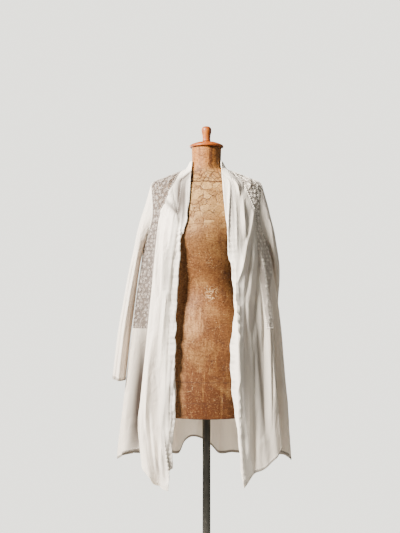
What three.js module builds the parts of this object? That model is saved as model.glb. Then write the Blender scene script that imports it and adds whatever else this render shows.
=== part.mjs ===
// A lace-trimmed voile haori, worn open on a limbless dress form that stands on a pole and a foot.
// Millimetres, +Z up. The front faces -Y and the wearer's right is -X. The origin is the middle of
// the foot's underside, on the floor.
//
// The body cloth is one surface, told by two numbers: how far round the body a point is, in degrees
// from the centre front past the wearer's right side (90), the centre back (180) and the left side
// (270), and its level, a height. Every cut panel is a patch of that surface, so the seams meet.
import * as THREE from "three";

// ---- Driving sizes ----
const CLOTH = 1.6; // wall of the voile and the lace
const BAND = 2.4; // wall of the doubled front band and collar
const HEM = 2.6; // wall of the turned-up hems
const HEM_DEPTH = 9; // height of the turned-up hems
const SEAM_GAP = 0.3; // left between two pieces at a seam
const COLLAR_TOP = 1500;
const COLLAR_SEAM = 1478; // where the collar is sewn to the body
const SHOULDER_TIP = 1436;
const ARMPIT = 1240;
const LACE_END = 988; // the lace panel's squared lower end
const HEM_LEVEL = 570; // the level that stands for the hem all round
const HEM_SWAY_TOP = 900; // above this the rows of the cloth are level
const TIP_TOP = 735; // below this the front corners swing in
const ARMHOLE_REACH = 22; // half the armhole's width, in degrees round the body
const SET_IN = 2.3; // from the body cloth's middle out to the sleeve's, round the armhole
const FORM_BOTTOM = 720;
const NECK_TOP = 1543;
const POLE_RADIUS = 12.5;
const FOOT_RADIUS = 170;
const FOOT_RIM = 8;
const FOOT_HEIGHT = 34;
const PART_GAP = 0.3; // between hard parts that touch
const DEGREE = Math.PI / 180;

// ---- Tables ----
// The cloth's level rings, without folds: how far each side reaches from the pole's axis.
const CLOTH_RINGS = [
  { z: 1500, right: 50, left: 50, front: 50, back: 54 },
  { z: 1478, right: 63, left: 63, front: 53, back: 68 },
  { z: 1466, right: 93, left: 93, front: 55, back: 80 },
  { z: 1452, right: 127, left: 127, front: 61, back: 90 },
  { z: 1436, right: 164, left: 164, front: 68, back: 98 },
  { z: 1422, right: 173, left: 173, front: 76, back: 103 },
  { z: 1390, right: 176, left: 176, front: 92, back: 109 },
  { z: 1340, right: 178, left: 178, front: 110, back: 114 },
  { z: 1270, right: 188, left: 188, front: 126, back: 119 },
  { z: 1165, right: 203, left: 205, front: 127, back: 124 },
  { z: 1020, right: 221, left: 226, front: 123, back: 131 },
  { z: 850, right: 241, left: 240, front: 121, back: 140 },
  { z: 700, right: 258, left: 250, front: 125, back: 150 },
  { z: 570, right: 270, left: 257, front: 132, back: 160 },
];

// The open front: how far each front edge lies from the centre plane, and each band's width.
const FRONT_EDGES = [
  { z: 1500, right: 44, left: 44, band: 13 },
  { z: 1478, right: 45, left: 45, band: 18 },
  { z: 1440, right: 48, left: 47, band: 28 },
  { z: 1380, right: 51, left: 51, band: 34 },
  { z: 1320, right: 59, left: 57, band: 36 },
  { z: 1260, right: 75, left: 63, band: 36 },
  { z: 1165, right: 91, left: 74, band: 36 },
  { z: 1072, right: 96, left: 77, band: 36 },
  { z: 950, right: 95, left: 72, band: 36 },
  { z: 830, right: 92, left: 74, band: 36 },
  { z: 720, right: 95, left: 83, band: 36 },
  { z: 640, right: 104, left: 92, band: 36 },
  { z: 570, right: 112, left: 108, band: 36 },
];

// Where the lace panel starts and where the side seam runs, in degrees from the centre front.
const LACE_EDGES = [
  { z: 1490, rightFrom: 89, rightTo: 90, leftFrom: 89, leftTo: 90 },
  { z: 1478, rightFrom: 82.5, rightTo: 90, leftFrom: 82.5, leftTo: 90 },
  { z: 1466, rightFrom: 58, rightTo: 90, leftFrom: 58, leftTo: 90 },
  { z: 1452, rightFrom: 42.5, rightTo: 90, leftFrom: 45, leftTo: 90 },
  { z: 1436, rightFrom: 35, rightTo: 90, leftFrom: 40, leftTo: 90 },
  { z: 1405, rightFrom: 38.5, rightTo: 90, leftFrom: 43, leftTo: 90 },
  { z: 1370, rightFrom: 45, rightTo: 90, leftFrom: 49, leftTo: 90 },
  { z: 1340, rightFrom: 50.5, rightTo: 90, leftFrom: 53, leftTo: 90 },
  { z: 1240, rightFrom: 53, rightTo: 90, leftFrom: 50, leftTo: 90 },
  { z: 1100, rightFrom: 54, rightTo: 85, leftFrom: 51, leftTo: 73 },
  { z: 570, rightFrom: 55, rightTo: 84, leftFrom: 52, leftTo: 72 },
];

// The folds that hang in the cloth. at and width are degrees, from the centre front round that side.
// out is how far the fold stands proud at the hem, lean how far it tips away from the front there,
// and tip what more it tips at the front corners. A fold dies out at its top level.
const FOLDS = [
  { name: "front edge roll", side: "right", at: 27, width: 7, top: 1330, out: 9, lean: 0, tip: -4 },
  { name: "front groove", side: "right", at: 35, width: 7, top: 1250, out: -11, lean: 0, tip: -8 },
  { name: "overlap ridge", side: "right", at: 45, width: 12, top: 1400, out: 16, lean: 14, tip: -44 },
  { name: "overlap valley", side: "right", at: 60, width: 12, top: 1380, out: -46, lean: -24, tip: -14 },
  { name: "side ridge", side: "right", at: 90, width: 13, top: 1250, out: 7, lean: 0, tip: 0 },
  { name: "side valley", side: "right", at: 109, width: 10, top: 1180, out: -26, lean: 0, tip: 0 },
  { name: "back ridge", side: "right", at: 126, width: 10, top: 1120, out: 17, lean: -6, tip: 0 },
  { name: "back valley", side: "right", at: 143, width: 9, top: 1150, out: -24, lean: 0, tip: 0 },
  { name: "inner ridge", side: "right", at: 150, width: 7, top: 1050, out: 10, lean: 0, tip: 0 },
  { name: "inner valley", side: "right", at: 158, width: 8, top: 1100, out: -36, lean: 0, tip: 0 },
  { name: "centre back ridge", side: "right", at: 172.5, width: 12, top: 1130, out: 44, lean: 0, tip: 0 },
  { name: "front edge ridge", side: "left", at: 24, width: 7, top: 1330, out: 20, lean: -5, tip: 0 },
  { name: "front dip", side: "left", at: 36, width: 8, top: 1150, out: -9, lean: 0, tip: 0 },
  { name: "overlap ridge", side: "left", at: 54, width: 12, top: 1400, out: 10, lean: 9, tip: 0 },
  { name: "overlap valley", side: "left", at: 68, width: 11, top: 1380, out: -44, lean: -24, tip: 0 },
  { name: "side ridge", side: "left", at: 92, width: 12, top: 1250, out: 6, lean: 0, tip: 0 },
  { name: "side valley", side: "left", at: 112, width: 10, top: 1180, out: -22, lean: 0, tip: 0 },
  { name: "back ridge", side: "left", at: 130, width: 10, top: 1100, out: 12, lean: 0, tip: 0 },
  { name: "back valley", side: "left", at: 147, width: 9, top: 1120, out: -18, lean: 0, tip: 0 },
  { name: "inner valley", side: "left", at: 168, width: 9, top: 1130, out: -36, lean: 0, tip: 0 },
];

// The hem's own line: its height at places round the body, in degrees from the centre front.
const HEM_LINE = [
  { around: 18, z: 515 },
  { around: 28, z: 519 },
  { around: 38, z: 529 },
  { around: 46, z: 560 },
  { around: 54, z: 600 },
  { around: 62, z: 622 },
  { around: 78, z: 592 },
  { around: 92, z: 580 },
  { around: 112, z: 588 },
  { around: 128, z: 572 },
  { around: 150, z: 566 },
  { around: 159, z: 570 },
  { around: 165, z: 596 },
  { around: 170, z: 605 },
  { around: 179, z: 599 },
  { around: 190, z: 568 },
  { around: 212, z: 563 },
  { around: 232, z: 574 },
  { around: 250, z: 584 },
  { around: 268, z: 576 },
  { around: 283, z: 600 },
  { around: 294, z: 634 },
  { around: 303, z: 628 },
  { around: 310, z: 602 },
  { around: 318, z: 572 },
  { around: 326, z: 560 },
  { around: 334, z: 530 },
  { around: 338, z: 524 },
];

// Small waves along the front edges, where the doubled band has puckered.
const EDGE_WAVE = { length: 66, height: 2.6, top: 1330 };

// Each sleeve's rings, from the armhole down: the middle's height, where it hangs round the body,
// how far its middle stands off the body cloth, half its thickness and half its width when flat,
// and how much higher its outer side is than its middle.
const RIGHT_SLEEVE = [
  { z: 1276, around: 90, standoff: 9.5, thick: 4, width: 48, slant: 86 },
  { z: 1229, around: 90, standoff: 16, thick: 9, width: 53, slant: 87 },
  { z: 1163, around: 91, standoff: 20.5, thick: 12.5, width: 57, slant: 80 },
  { z: 1100, around: 92, standoff: 24, thick: 15.5, width: 59, slant: 73 },
  { z: 1020, around: 92, standoff: 26.5, thick: 17.5, width: 60, slant: 58 },
  { z: 925, around: 92, standoff: 27.5, thick: 18.5, width: 59, slant: 37 },
  { z: 829, around: 92, standoff: 28, thick: 19, width: 56, slant: 4 },
];
const LEFT_SLEEVE = [
  { z: 1280, around: 266, standoff: 9, thick: 3.5, width: 48, slant: 86 },
  { z: 1224, around: 254, standoff: 13, thick: 7, width: 52, slant: 84 },
  { z: 1160, around: 242, standoff: 16, thick: 9, width: 56, slant: 76 },
  { z: 1095, around: 233, standoff: 19, thick: 12, width: 59, slant: 70 },
  { z: 1015, around: 228, standoff: 23, thick: 15, width: 60, slant: 56 },
  { z: 920, around: 225, standoff: 26, thick: 17, width: 60, slant: 35 },
  { z: 826, around: 222, standoff: 28, thick: 18, width: 57, slant: 4 },
];
// Lengthwise creases in both sleeves: their place round the sleeve, width and depth as a share.
const SLEEVE_CREASES = [
  { at: 78, width: 34, depth: 0.2 },
  { at: 205, width: 36, depth: 0.16 },
  { at: 290, width: 34, depth: 0.18 },
];

// The dress form's level sections.
const FORM_RINGS = [
  { z: 1543, half: 46, front: 46, back: 46 },
  { z: 1500, half: 45, front: 45, back: 46 },
  { z: 1488, half: 47, front: 45, back: 52 },
  { z: 1476, half: 54, front: 45, back: 60 },
  { z: 1464, half: 88, front: 46, back: 73 },
  { z: 1450, half: 128.6, front: 51, back: 83 },
  { z: 1434, half: 163.4, front: 59, back: 91 },
  { z: 1422, half: 169, front: 68, back: 97 },
  { z: 1390, half: 170, front: 85, back: 103 },
  { z: 1340, half: 166, front: 104, back: 110 },
  { z: 1275, half: 151, front: 118, back: 108 },
  { z: 1200, half: 128, front: 104, back: 90 },
  { z: 1105, half: 110, front: 84, back: 76 },
  { z: 1015, half: 136, front: 96, back: 98 },
  { z: 920, half: 158, front: 104, back: 117 },
  { z: 820, half: 158, front: 104, back: 112 },
  { z: 720, half: 150, front: 100, back: 104 },
];

// Half sections of the turned pieces, from the axis out and back: radius and height.
const CAP_PROFILE = [
  [0, 0], [50, 0], [52.5, 2], [53, 5], [51, 8], [45, 11], [32, 16], [14, 19], [0, 19.5],
];
const KNOB_PROFILE = [
  [0, 0], [12.5, 0], [12, 8], [12.5, 18], [15, 28], [15.6, 36], [14, 42], [9, 46.5], [0, 48],
];

// ---- Smooth curves through a table's rows ----
function curveThrough(rows, key, value) {
  const sorted = [...rows].sort((a, b) => a[key] - b[key]);
  const x = sorted.map((row) => row[key]);
  const y = sorted.map((row) => row[value]);
  const slope = x.slice(1).map((_, i) => (y[i + 1] - y[i]) / (x[i + 1] - x[i]));
  const tangent = x.map((_, i) => {
    if (i === 0) return slope[0];
    if (i === x.length - 1) return slope[i - 1];
    const product = slope[i - 1] * slope[i];
    return product <= 0 ? 0 : (2 * product) / (slope[i - 1] + slope[i]);
  });
  return (at) => {
    const q = Math.min(Math.max(at, x[0]), x[x.length - 1]);
    let i = 0;
    while (i < x.length - 2 && q > x[i + 1]) i++;
    const span = x[i + 1] - x[i];
    const t = (q - x[i]) / span;
    const s = 1 - t;
    return (
      y[i] * s * s * (1 + 2 * t) + y[i + 1] * t * t * (3 - 2 * t) +
      span * t * s * (tangent[i] * s - tangent[i + 1] * t)
    );
  };
}

const curvesOf = (rows, key, names) =>
  Object.fromEntries(names.map((name) => [name, curveThrough(rows, key, name)]));

const cloth = curvesOf(CLOTH_RINGS, "z", ["right", "left", "front", "back"]);
const edge = curvesOf(FRONT_EDGES, "z", ["right", "left", "band"]);
const lace = curvesOf(LACE_EDGES, "z", ["rightFrom", "rightTo", "leftFrom", "leftTo"]);
const form = curvesOf(FORM_RINGS, "z", ["half", "front", "back"]);
const hemHeight = curveThrough(HEM_LINE, "around", "z");
const bump = (x) => (Math.abs(x) < 1 ? (1 + Math.cos(Math.PI * x)) / 2 : 0);
const clamp01 = (x) => Math.min(Math.max(x, 0), 1);
const mix = (a, b, t) => a + (b - a) * t;

// ---- The body cloth's surface ----
function bodyPoint(around, level) {
  const a = around * DEGREE;
  const across = around < 180 ? cloth.right(level) : cloth.left(level);
  const deep = Math.cos(a) > 0 ? cloth.front(level) : cloth.back(level);
  const base = new THREE.Vector3(-across * Math.sin(a), -deep * Math.cos(a), 0);
  const outward = new THREE.Vector3(-Math.sin(a) / across, -Math.cos(a) / deep, 0).normalize();
  const onward = new THREE.Vector3(-outward.y, outward.x, 0).negate(); // towards a larger angle
  let out = 0;
  let lean = 0;
  for (const fold of FOLDS) {
    const way = fold.side === "right" ? 1 : -1;
    const from = way > 0 ? around : 360 - around;
    const share = bump((from - fold.at) / fold.width);
    if (share === 0) continue;
    const growth = clamp01((fold.top - level) / (fold.top - HEM_LEVEL)) ** 1.15;
    const corner = clamp01((TIP_TOP - level) / (TIP_TOP - HEM_LEVEL)) ** 1.5;
    out += share * fold.out * growth;
    lean += share * way * (fold.lean * growth + fold.tip * corner);
  }
  const sway = clamp01((HEM_SWAY_TOP - level) / (HEM_SWAY_TOP - HEM_LEVEL)) ** 1.6;
  base.addScaledVector(outward, out).addScaledVector(onward, lean);
  base.z = level + (hemHeight(around) - HEM_LEVEL) * sway;
  return base;
}

// Where a front edge lies, in degrees, from its distance to the centre plane.
function edgeAround(side, level) {
  const share = Math.min(edge[side](level) / cloth[side](level), 0.98);
  const from = Math.asin(share) / DEGREE;
  return side === "right" ? from : 360 - from;
}

// The way the body cloth faces, outwards.
function bodyNormal(around, level) {
  const low = Math.max(level - 0.5, HEM_LEVEL);
  const high = Math.min(level + 0.5, COLLAR_TOP);
  const onward = bodyPoint(around + 0.1, level).sub(bodyPoint(around - 0.1, level));
  const upward = bodyPoint(around, high).sub(bodyPoint(around, low));
  return upward.cross(onward).normalize();
}

// A panel's edge beside a seam: half the seam gap from it, square to the seam. way is 1 or -1.
function besideSeam(seam, way) {
  return (level) => {
    const around = seam(level);
    const low = Math.max(level - 1, HEM_LEVEL);
    const high = Math.min(level + 1, COLLAR_TOP);
    const onward = bodyPoint(around + 0.1, level).sub(bodyPoint(around - 0.1, level));
    const along = bodyPoint(seam(high), high).sub(bodyPoint(seam(low), low));
    const square = Math.sin(onward.angleTo(along));
    return around + (way * 0.2 * (SEAM_GAP / 2)) / (Math.max(square, 0.3) * onward.length());
  };
}

function bandAround(side, level) {
  const start = edgeAround(side, level);
  const across = cloth[side](level);
  const share = Math.min((edge[side](level) + edge.band(level)) / across, 0.985);
  const from = Math.min(Math.asin(share) / DEGREE, 88);
  return side === "right" ? Math.max(from, start + 6) : Math.min(360 - from, start - 6);
}

// Half the armhole's width at a level, in degrees.
function armholeReach(level) {
  const middle = (SHOULDER_TIP + ARMPIT) / 2;
  const half = (SHOULDER_TIP - ARMPIT) / 2;
  return ARMHOLE_REACH * Math.sqrt(Math.max(0, 1 - ((level - middle) / half) ** 2));
}

function sideSeam(side, level) {
  const from = side === "right" ? lace.rightTo(level) : lace.leftTo(level);
  return side === "right" ? from : 360 - from;
}

function laceAround(side, level) {
  return side === "right" ? lace.rightFrom(level) : 360 - lace.leftFrom(level);
}

// ---- Walls of cloth ----
// frame(u, v) gives a point of the wall's middle surface and the way it faces. us and vs are the
// steps across and along it. A closed wall is a tube across u.
function clothWall(frame, us, vs, thickness, closed = false) {
  const columns = closed ? us.length - 1 : us.length;
  const position = [];
  const index = [];
  const [outer, inner] = [0.5, -0.5].map((share) =>
    vs.map((v) =>
      us.slice(0, columns).map((u) => {
        const { point, normal } = frame(u, v);
        point.addScaledVector(normal, share * thickness(v));
        position.push(point.x, point.y, point.z);
        return position.length / 3 - 1;
      }),
    ),
  );
  const quad = (a, b, c, d) => index.push(a, b, c, a, c, d);
  for (let j = 0; j + 1 < vs.length; j++)
    for (let i = 0; i + 1 < us.length; i++) {
      const next = (i + 1) % columns;
      quad(outer[j][i], outer[j][next], outer[j + 1][next], outer[j + 1][i]);
      quad(inner[j][i], inner[j + 1][i], inner[j + 1][next], inner[j][next]);
    }
  // Facing rims of two sewn pieces are split along the same diagonals, so they can't touch.
  const nearRim = (a, b) => {
    for (let k = 0; k + 1 < a.length; k++) quad(a[k + 1], a[k], b[k], b[k + 1]);
  };
  const farRim = (a, b) => {
    for (let k = 0; k + 1 < a.length; k++) quad(a[k + 1], b[k + 1], b[k], a[k]);
  };
  const last = vs.length - 1;
  const across = (row) => (closed ? [...row, row[0]] : row);
  const up = (rows, i) => rows.map((row) => row[i]);
  nearRim(across(outer[0]), across(inner[0]));
  farRim(across(outer[last]), across(inner[last]));
  if (!closed) {
    farRim(up(outer, 0), up(inner, 0));
    nearRim(up(outer, columns - 1), up(inner, columns - 1));
  }
  return facingOut(position, index);
}

// A geometry from points and triangles, turned so that its faces point out.
function facingOut(position, index) {
  const a = new THREE.Vector3();
  const b = new THREE.Vector3();
  const c = new THREE.Vector3();
  let volume = 0;
  for (let k = 0; k < index.length; k += 3) {
    a.fromArray(position, 3 * index[k]);
    b.fromArray(position, 3 * index[k + 1]);
    c.fromArray(position, 3 * index[k + 2]);
    volume += a.dot(b.cross(c));
  }
  if (volume < 0) index.reverse();
  const geometry = new THREE.BufferGeometry();
  geometry.setAttribute("position", new THREE.Float32BufferAttribute(position, 3));
  geometry.setIndex(index);
  geometry.computeVertexNormals();
  return geometry;
}

// ---- The rows and columns of the panels ----
const steps = (count) => Array.from({ length: count + 1 }, (_, i) => i / count);
const ARMHOLE_ROWS = 7;
const FRONT_COLUMNS = 8;
const SIDE_COLUMNS = 5;
const BACK_COLUMNS = 40;
const BAND_COLUMNS = 2;
const COLLAR_COLUMNS = 16;
const BODY_LEVELS = [
  HEM_LEVEL, HEM_LEVEL + HEM_DEPTH, 628, 690, 758, 832, 908, LACE_END, 1045, 1110, 1178,
  ...steps(ARMHOLE_ROWS).map((t) => mix(ARMPIT, SHOULDER_TIP, (1 - Math.cos(Math.PI * t)) / 2)),
  1452, 1466, COLLAR_SEAM,
];

// The rows from one level to another, pulled in by half a seam gap at each end but the hem.
const rowsBetween = (low, high) =>
  BODY_LEVELS.filter((level) => level >= low && level <= high).map((level) => {
    if (level === high) return level - SEAM_GAP / 2;
    return level === low && low !== HEM_LEVEL ? level + SEAM_GAP / 2 : level;
  });

const hemWall = (level) => (level <= HEM_LEVEL + HEM_DEPTH ? HEM : CLOTH);

// A panel of the body between two seams told in degrees, at the given levels.
function bodyPanel(from, to, levels, columns, wall) {
  const start = besideSeam(from, 1);
  const end = besideSeam(to, -1);
  const frame = (u, level) => {
    const around = mix(start(level), end(level), u);
    return { point: bodyPoint(around, level), normal: bodyNormal(around, level) };
  };
  return clothWall(frame, steps(columns), levels, wall);
}

// ---- The panels ----
// The armhole is cut from both sides of the side seam.
const yokeSide = (side, level) =>
  sideSeam(side, level) - (side === "right" ? 1 : -1) * armholeReach(level);
const backSide = (side, level) =>
  sideSeam(side, level) + (side === "right" ? 1 : -1) * armholeReach(level);

const sidePiece = (side, near, far, low, high, columns, wall) => {
  const seams = [(level) => near(side, level), (level) => far(side, level)];
  const [from, to] = side === "right" ? seams : seams.reverse();
  return bodyPanel(from, to, rowsBetween(low, high), columns, wall);
};

const frontPanel = (side) =>
  sidePiece(side, bandAround, laceAround, HEM_LEVEL, COLLAR_SEAM, FRONT_COLUMNS, hemWall);
const laceYoke = (side) =>
  sidePiece(side, laceAround, yokeSide, LACE_END, COLLAR_SEAM, SIDE_COLUMNS, () => CLOTH);
const sidePanel = (side) =>
  sidePiece(side, laceAround, yokeSide, HEM_LEVEL, LACE_END, SIDE_COLUMNS, hemWall);

const backPanel = () =>
  bodyPanel(
    (level) => backSide("right", level), (level) => backSide("left", level),
    rowsBetween(HEM_LEVEL, COLLAR_SEAM), BACK_COLUMNS, hemWall,
  );

const collar = () =>
  bodyPanel(
    (level) => bandAround("right", level), (level) => bandAround("left", level),
    [COLLAR_SEAM + SEAM_GAP / 2, 1489, COLLAR_TOP], COLLAR_COLUMNS, () => BAND,
  );

// The band along a front edge, from the hem to the collar's top. It has twice the panel's rows, and
// its sewn side keeps to the panel's straight runs between rows. Its free edge is puckered.
function frontBand(side) {
  const way = side === "right" ? 1 : -1;
  const coarse = [...BODY_LEVELS, 1489, COLLAR_TOP];
  const levels = coarse.flatMap((z, k) =>
    k + 1 < coarse.length && coarse[k + 1] - z > 25 ? [z, (z + coarse[k + 1]) / 2] : [z],
  );
  const seam = besideSeam((level) => bandAround(side, level), -way);
  const sewn = (level) => {
    const k = Math.max(1, coarse.findIndex((z) => z >= level));
    const t = (level - coarse[k - 1]) / (coarse[k] - coarse[k - 1]);
    const [low, high] = [coarse[k - 1], coarse[k]].map((z) => ({
      point: bodyPoint(seam(z), z), normal: bodyNormal(seam(z), z),
    }));
    return { point: low.point.lerp(high.point, t), normal: low.normal.lerp(high.normal, t) };
  };
  const frame = (u, level) => {
    if (u === 0) return sewn(level);
    const around = mix(seam(level), edgeAround(side, level), u);
    const straight = sewn(level).point.sub(bodyPoint(seam(level), level)).multiplyScalar(1 - u);
    const swell = EDGE_WAVE.height * clamp01((EDGE_WAVE.top - level) / 200) * u * u;
    const wave = swell * Math.sin((2 * Math.PI * level) / EDGE_WAVE.length);
    const point = bodyPoint(around, level).add(straight);
    point.add(new THREE.Vector3(way * 0.4 * wave, wave, 0));
    return { point, normal: bodyNormal(around, level) };
  };
  return clothWall(frame, steps(BAND_COLUMNS), levels, () => BAND);
}

// ---- Sleeves ----
// A sleeve hangs empty and almost flat from its armhole. turn is the angle round the sleeve, from
// its outer side, and k counts the rings down from the armhole.
function sleeve(side, rings) {
  const way = side === "right" ? 1 : -1;
  const middle = (SHOULDER_TIP + ARMPIT) / 2;
  const half = (SHOULDER_TIP - ARMPIT) / 2;
  const along = curvesOf(
    rings.map((ring, i) => ({ ...ring, k: i + 1 })), "k",
    ["z", "around", "standoff", "thick", "width", "slant"],
  );
  const armhole = (turn) => {
    const level = middle + half * Math.cos(turn);
    const around = (way > 0 ? 90 : 270) - way * ARMHOLE_REACH * Math.sin(turn);
    return bodyPoint(around, level).addScaledVector(bodyNormal(around, level), SET_IN);
  };
  const hung = (turn, k) => {
    const z = along.z(k) + along.slant(k) * Math.cos(turn);
    const a = along.around(k) * DEGREE;
    const across = way > 0 ? cloth.right(z) : cloth.left(z);
    const deep = Math.cos(a) > 0 ? cloth.front(z) : cloth.back(z);
    const outward = new THREE.Vector3(-Math.sin(a) / across, -Math.cos(a) / deep, 0).normalize();
    const forward = new THREE.Vector3(-way * outward.y, way * outward.x, 0);
    const degrees = ((turn / DEGREE) % 360 + 360) % 360;
    const crease = SLEEVE_CREASES.reduce(
      (sum, c) => sum + c.depth * bump((degrees - c.at) / c.width), 0,
    );
    const fill = 1 - crease * clamp01((k - 1) / 2);
    return new THREE.Vector3(-across * Math.sin(a), -deep * Math.cos(a), z)
      .addScaledVector(outward, along.standoff(k) + along.thick(k) * Math.cos(turn) * fill)
      .addScaledVector(forward, along.width(k) * Math.sin(turn) * fill);
  };
  const place = (u, k) => {
    const turn = 2 * Math.PI * u;
    return k < 1 ? armhole(turn).lerp(hung(turn, 1), k) : hung(turn, k);
  };
  const last = rings.length;
  const frame = (u, k) => {
    const across = place(u + 0.002, k).sub(place(u - 0.002, k));
    const down = place(u, Math.min(k + 0.002, last)).sub(place(u, Math.max(k - 0.002, 0)));
    return { point: place(u, k), normal: down.cross(across).normalize() };
  };
  const cuff = last - HEM_DEPTH / (rings[last - 2].z - rings[last - 1].z);
  const ks = [0, 0.5, ...steps(2 * (last - 1)).map((t) => 1 + t * (last - 1))];
  ks.splice(-1, 1, cuff, last);
  return clothWall(frame, steps(2 * ARMHOLE_ROWS), ks, (k) => (k >= cuff ? HEM : CLOTH), true);
}

// ---- The dress form and its stand ----
function formBody() {
  const levels = [...FORM_RINGS.map((ring) => ring.z)];
  for (let k = 9; k + 1 < FORM_RINGS.length; k++)
    levels.push((FORM_RINGS[k].z + FORM_RINGS[k + 1].z) / 2);
  levels.sort((a, b) => a - b);
  const sides = 28;
  const position = [];
  const index = [];
  for (const z of levels)
    for (let i = 0; i < sides; i++) {
      const a = (2 * Math.PI * i) / sides;
      const deep = Math.cos(a) > 0 ? form.front(z) : form.back(z);
      position.push(-form.half(z) * Math.sin(a), -deep * Math.cos(a), z);
    }
  for (let j = 0; j + 1 < levels.length; j++)
    for (let i = 0; i < sides; i++) {
      const next = (i + 1) % sides;
      const [a, b] = [j * sides + i, j * sides + next];
      index.push(a, b, b + sides, a, b + sides, a + sides);
    }
  const top = (levels.length - 1) * sides;
  for (let i = 1; i + 1 < sides; i++) {
    index.push(0, i + 1, i);
    index.push(top, top + i, top + i + 1);
  }
  return facingOut(position, index);
}

function turned(profile, base, sides = 28) {
  const points = profile.map(([radius, height]) => new THREE.Vector2(radius, height));
  const geometry = new THREE.LatheGeometry(points, sides);
  geometry.rotateX(Math.PI / 2); // the turning axis becomes +Z
  geometry.translate(0, 0, base);
  return geometry;
}

function pole(bottom, top) {
  return turned(
    [[0, 0], [POLE_RADIUS, 0], [POLE_RADIUS, top - bottom], [0, top - bottom]], bottom, 20,
  );
}

function foot() {
  const hub = POLE_RADIUS + 12;
  return turned(
    [
      [0, 0], [FOOT_RADIUS, 0], [FOOT_RADIUS, FOOT_RIM - 2], [FOOT_RADIUS - 3, FOOT_RIM],
      [hub + 40, FOOT_RIM + 6], [hub + 6, FOOT_RIM + 10], [hub, FOOT_HEIGHT], [0, FOOT_HEIGHT],
    ],
    0, 36,
  );
}

// ---- Materials ----
const material = (colour, roughness, metalness = 0) =>
  new THREE.MeshStandardMaterial({ color: colour, roughness, metalness, side: THREE.DoubleSide });
const voile = material(0xe6ddd2, 0.85);
const laceCotton = material(0xcfc4b8, 0.9);
const bandCotton = material(0xefe8de, 0.85);
const skin = material(0x8a5a34, 0.6);
const turnedWood = material(0xa85f33, 0.45);
const blackSteel = material(0x2c2d2b, 0.4, 0.8);

// ---- The whole part ----
const part = new THREE.Group();
function add(name, geometry, finish, parent = part) {
  const mesh = new THREE.Mesh(geometry, finish);
  mesh.name = name;
  parent.add(mesh);
}

const haori = new THREE.Group();
const stand = new THREE.Group();
part.add(haori, stand);

add("back_panel", backPanel(), voile, haori);
add("collar", collar(), bandCotton, haori);
for (const [side, rings] of [["right", RIGHT_SLEEVE], ["left", LEFT_SLEEVE]]) {
  add(`${side}_front_panel`, frontPanel(side), voile, haori);
  add(`${side}_lace_yoke`, laceYoke(side), laceCotton, haori);
  add(`${side}_side_panel`, sidePanel(side), voile, haori);
  add(`${side}_front_band`, frontBand(side), bandCotton, haori);
  add(`${side}_sleeve`, sleeve(side, rings), voile, haori);
}

add("form_body", formBody(), skin, stand);
add("neck_cap", turned(CAP_PROFILE, NECK_TOP + PART_GAP), turnedWood, stand);
const capHeight = CAP_PROFILE[CAP_PROFILE.length - 1][1];
add("cap_knob", turned(KNOB_PROFILE, NECK_TOP + capHeight + 2 * PART_GAP, 20), turnedWood, stand);
add("pole", pole(FOOT_HEIGHT + PART_GAP, FORM_BOTTOM - PART_GAP), blackSteel, stand);
add("foot", foot(), blackSteel, stand);

export default part;
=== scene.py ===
"""A lace-trimmed voile haori worn open on an aged, limbless dress form with a pole and a round foot.

Metres, +Z up. The front faces -Y and the wearer's right is -X. Tables are in millimetres and degrees.
"""
import math
from functools import partial

import bpy
import numpy as np
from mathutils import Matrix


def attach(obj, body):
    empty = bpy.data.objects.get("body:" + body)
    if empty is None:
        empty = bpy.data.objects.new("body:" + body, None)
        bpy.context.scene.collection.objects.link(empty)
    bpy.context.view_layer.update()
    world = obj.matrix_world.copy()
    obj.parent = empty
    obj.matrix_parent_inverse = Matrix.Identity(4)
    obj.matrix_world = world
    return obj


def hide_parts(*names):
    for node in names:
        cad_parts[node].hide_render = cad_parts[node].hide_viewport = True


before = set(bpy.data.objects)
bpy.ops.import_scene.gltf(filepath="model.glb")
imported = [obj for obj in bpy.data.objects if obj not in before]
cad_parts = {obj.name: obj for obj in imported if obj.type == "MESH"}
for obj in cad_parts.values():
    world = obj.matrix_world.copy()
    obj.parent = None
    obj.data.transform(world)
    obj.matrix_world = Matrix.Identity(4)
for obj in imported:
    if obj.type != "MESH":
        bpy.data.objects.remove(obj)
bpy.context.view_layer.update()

# ---- Camera ----
# It stands 2.4 m in front of the pole, level with the form's waist, and looks straight at it.
lens = bpy.data.cameras.new("camera")
lens.sensor_width = 36
lens.lens = 52.29
camera = bpy.data.objects.new("camera", lens)
camera.location = (-0.020, -2.400, 1.176)
camera.rotation_euler = (math.radians(90), 0, 0)
bpy.context.scene.collection.objects.link(camera)
bpy.context.scene.camera = camera

# ---- Room ----
# A pale floor and pale air, one large soft window far round on the wearer's right, and a weak fill.


def node(tree, kind, options=None, inputs=None):
    """Add a shader node, set its options and fill or wire its inputs."""
    made = tree.nodes.new("ShaderNode" + kind)
    for name, value in (options or {}).items():
        setattr(made, name, value)
    for name, value in (inputs or {}).items():
        if isinstance(value, bpy.types.Node):
            value = value.outputs[0]
        if isinstance(value, bpy.types.NodeSocket):
            tree.links.new(value, made.inputs[name])
        else:
            made.inputs[name].default_value = value
    return made


def empty_material(name):
    material = bpy.data.materials.new(name)
    material.use_nodes = True
    material.node_tree.nodes.clear()
    return material, material.node_tree


air = bpy.data.worlds.new("air")
air.use_nodes = True
air.node_tree.nodes.clear()
bpy.context.scene.world = air
seen = node(air.node_tree, "Background", None, {"Color": (1.0, 0.98, 0.89, 1), "Strength": 2.45})
felt = node(air.node_tree, "Background", None, {"Color": (0.84, 0.815, 0.71, 1), "Strength": 0.27})
path = node(air.node_tree, "LightPath")
both = node(air.node_tree, "MixShader", None, {0: path.outputs["Is Camera Ray"], 1: felt, 2: seen})
node(air.node_tree, "OutputWorld", None, {"Surface": both})

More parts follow.
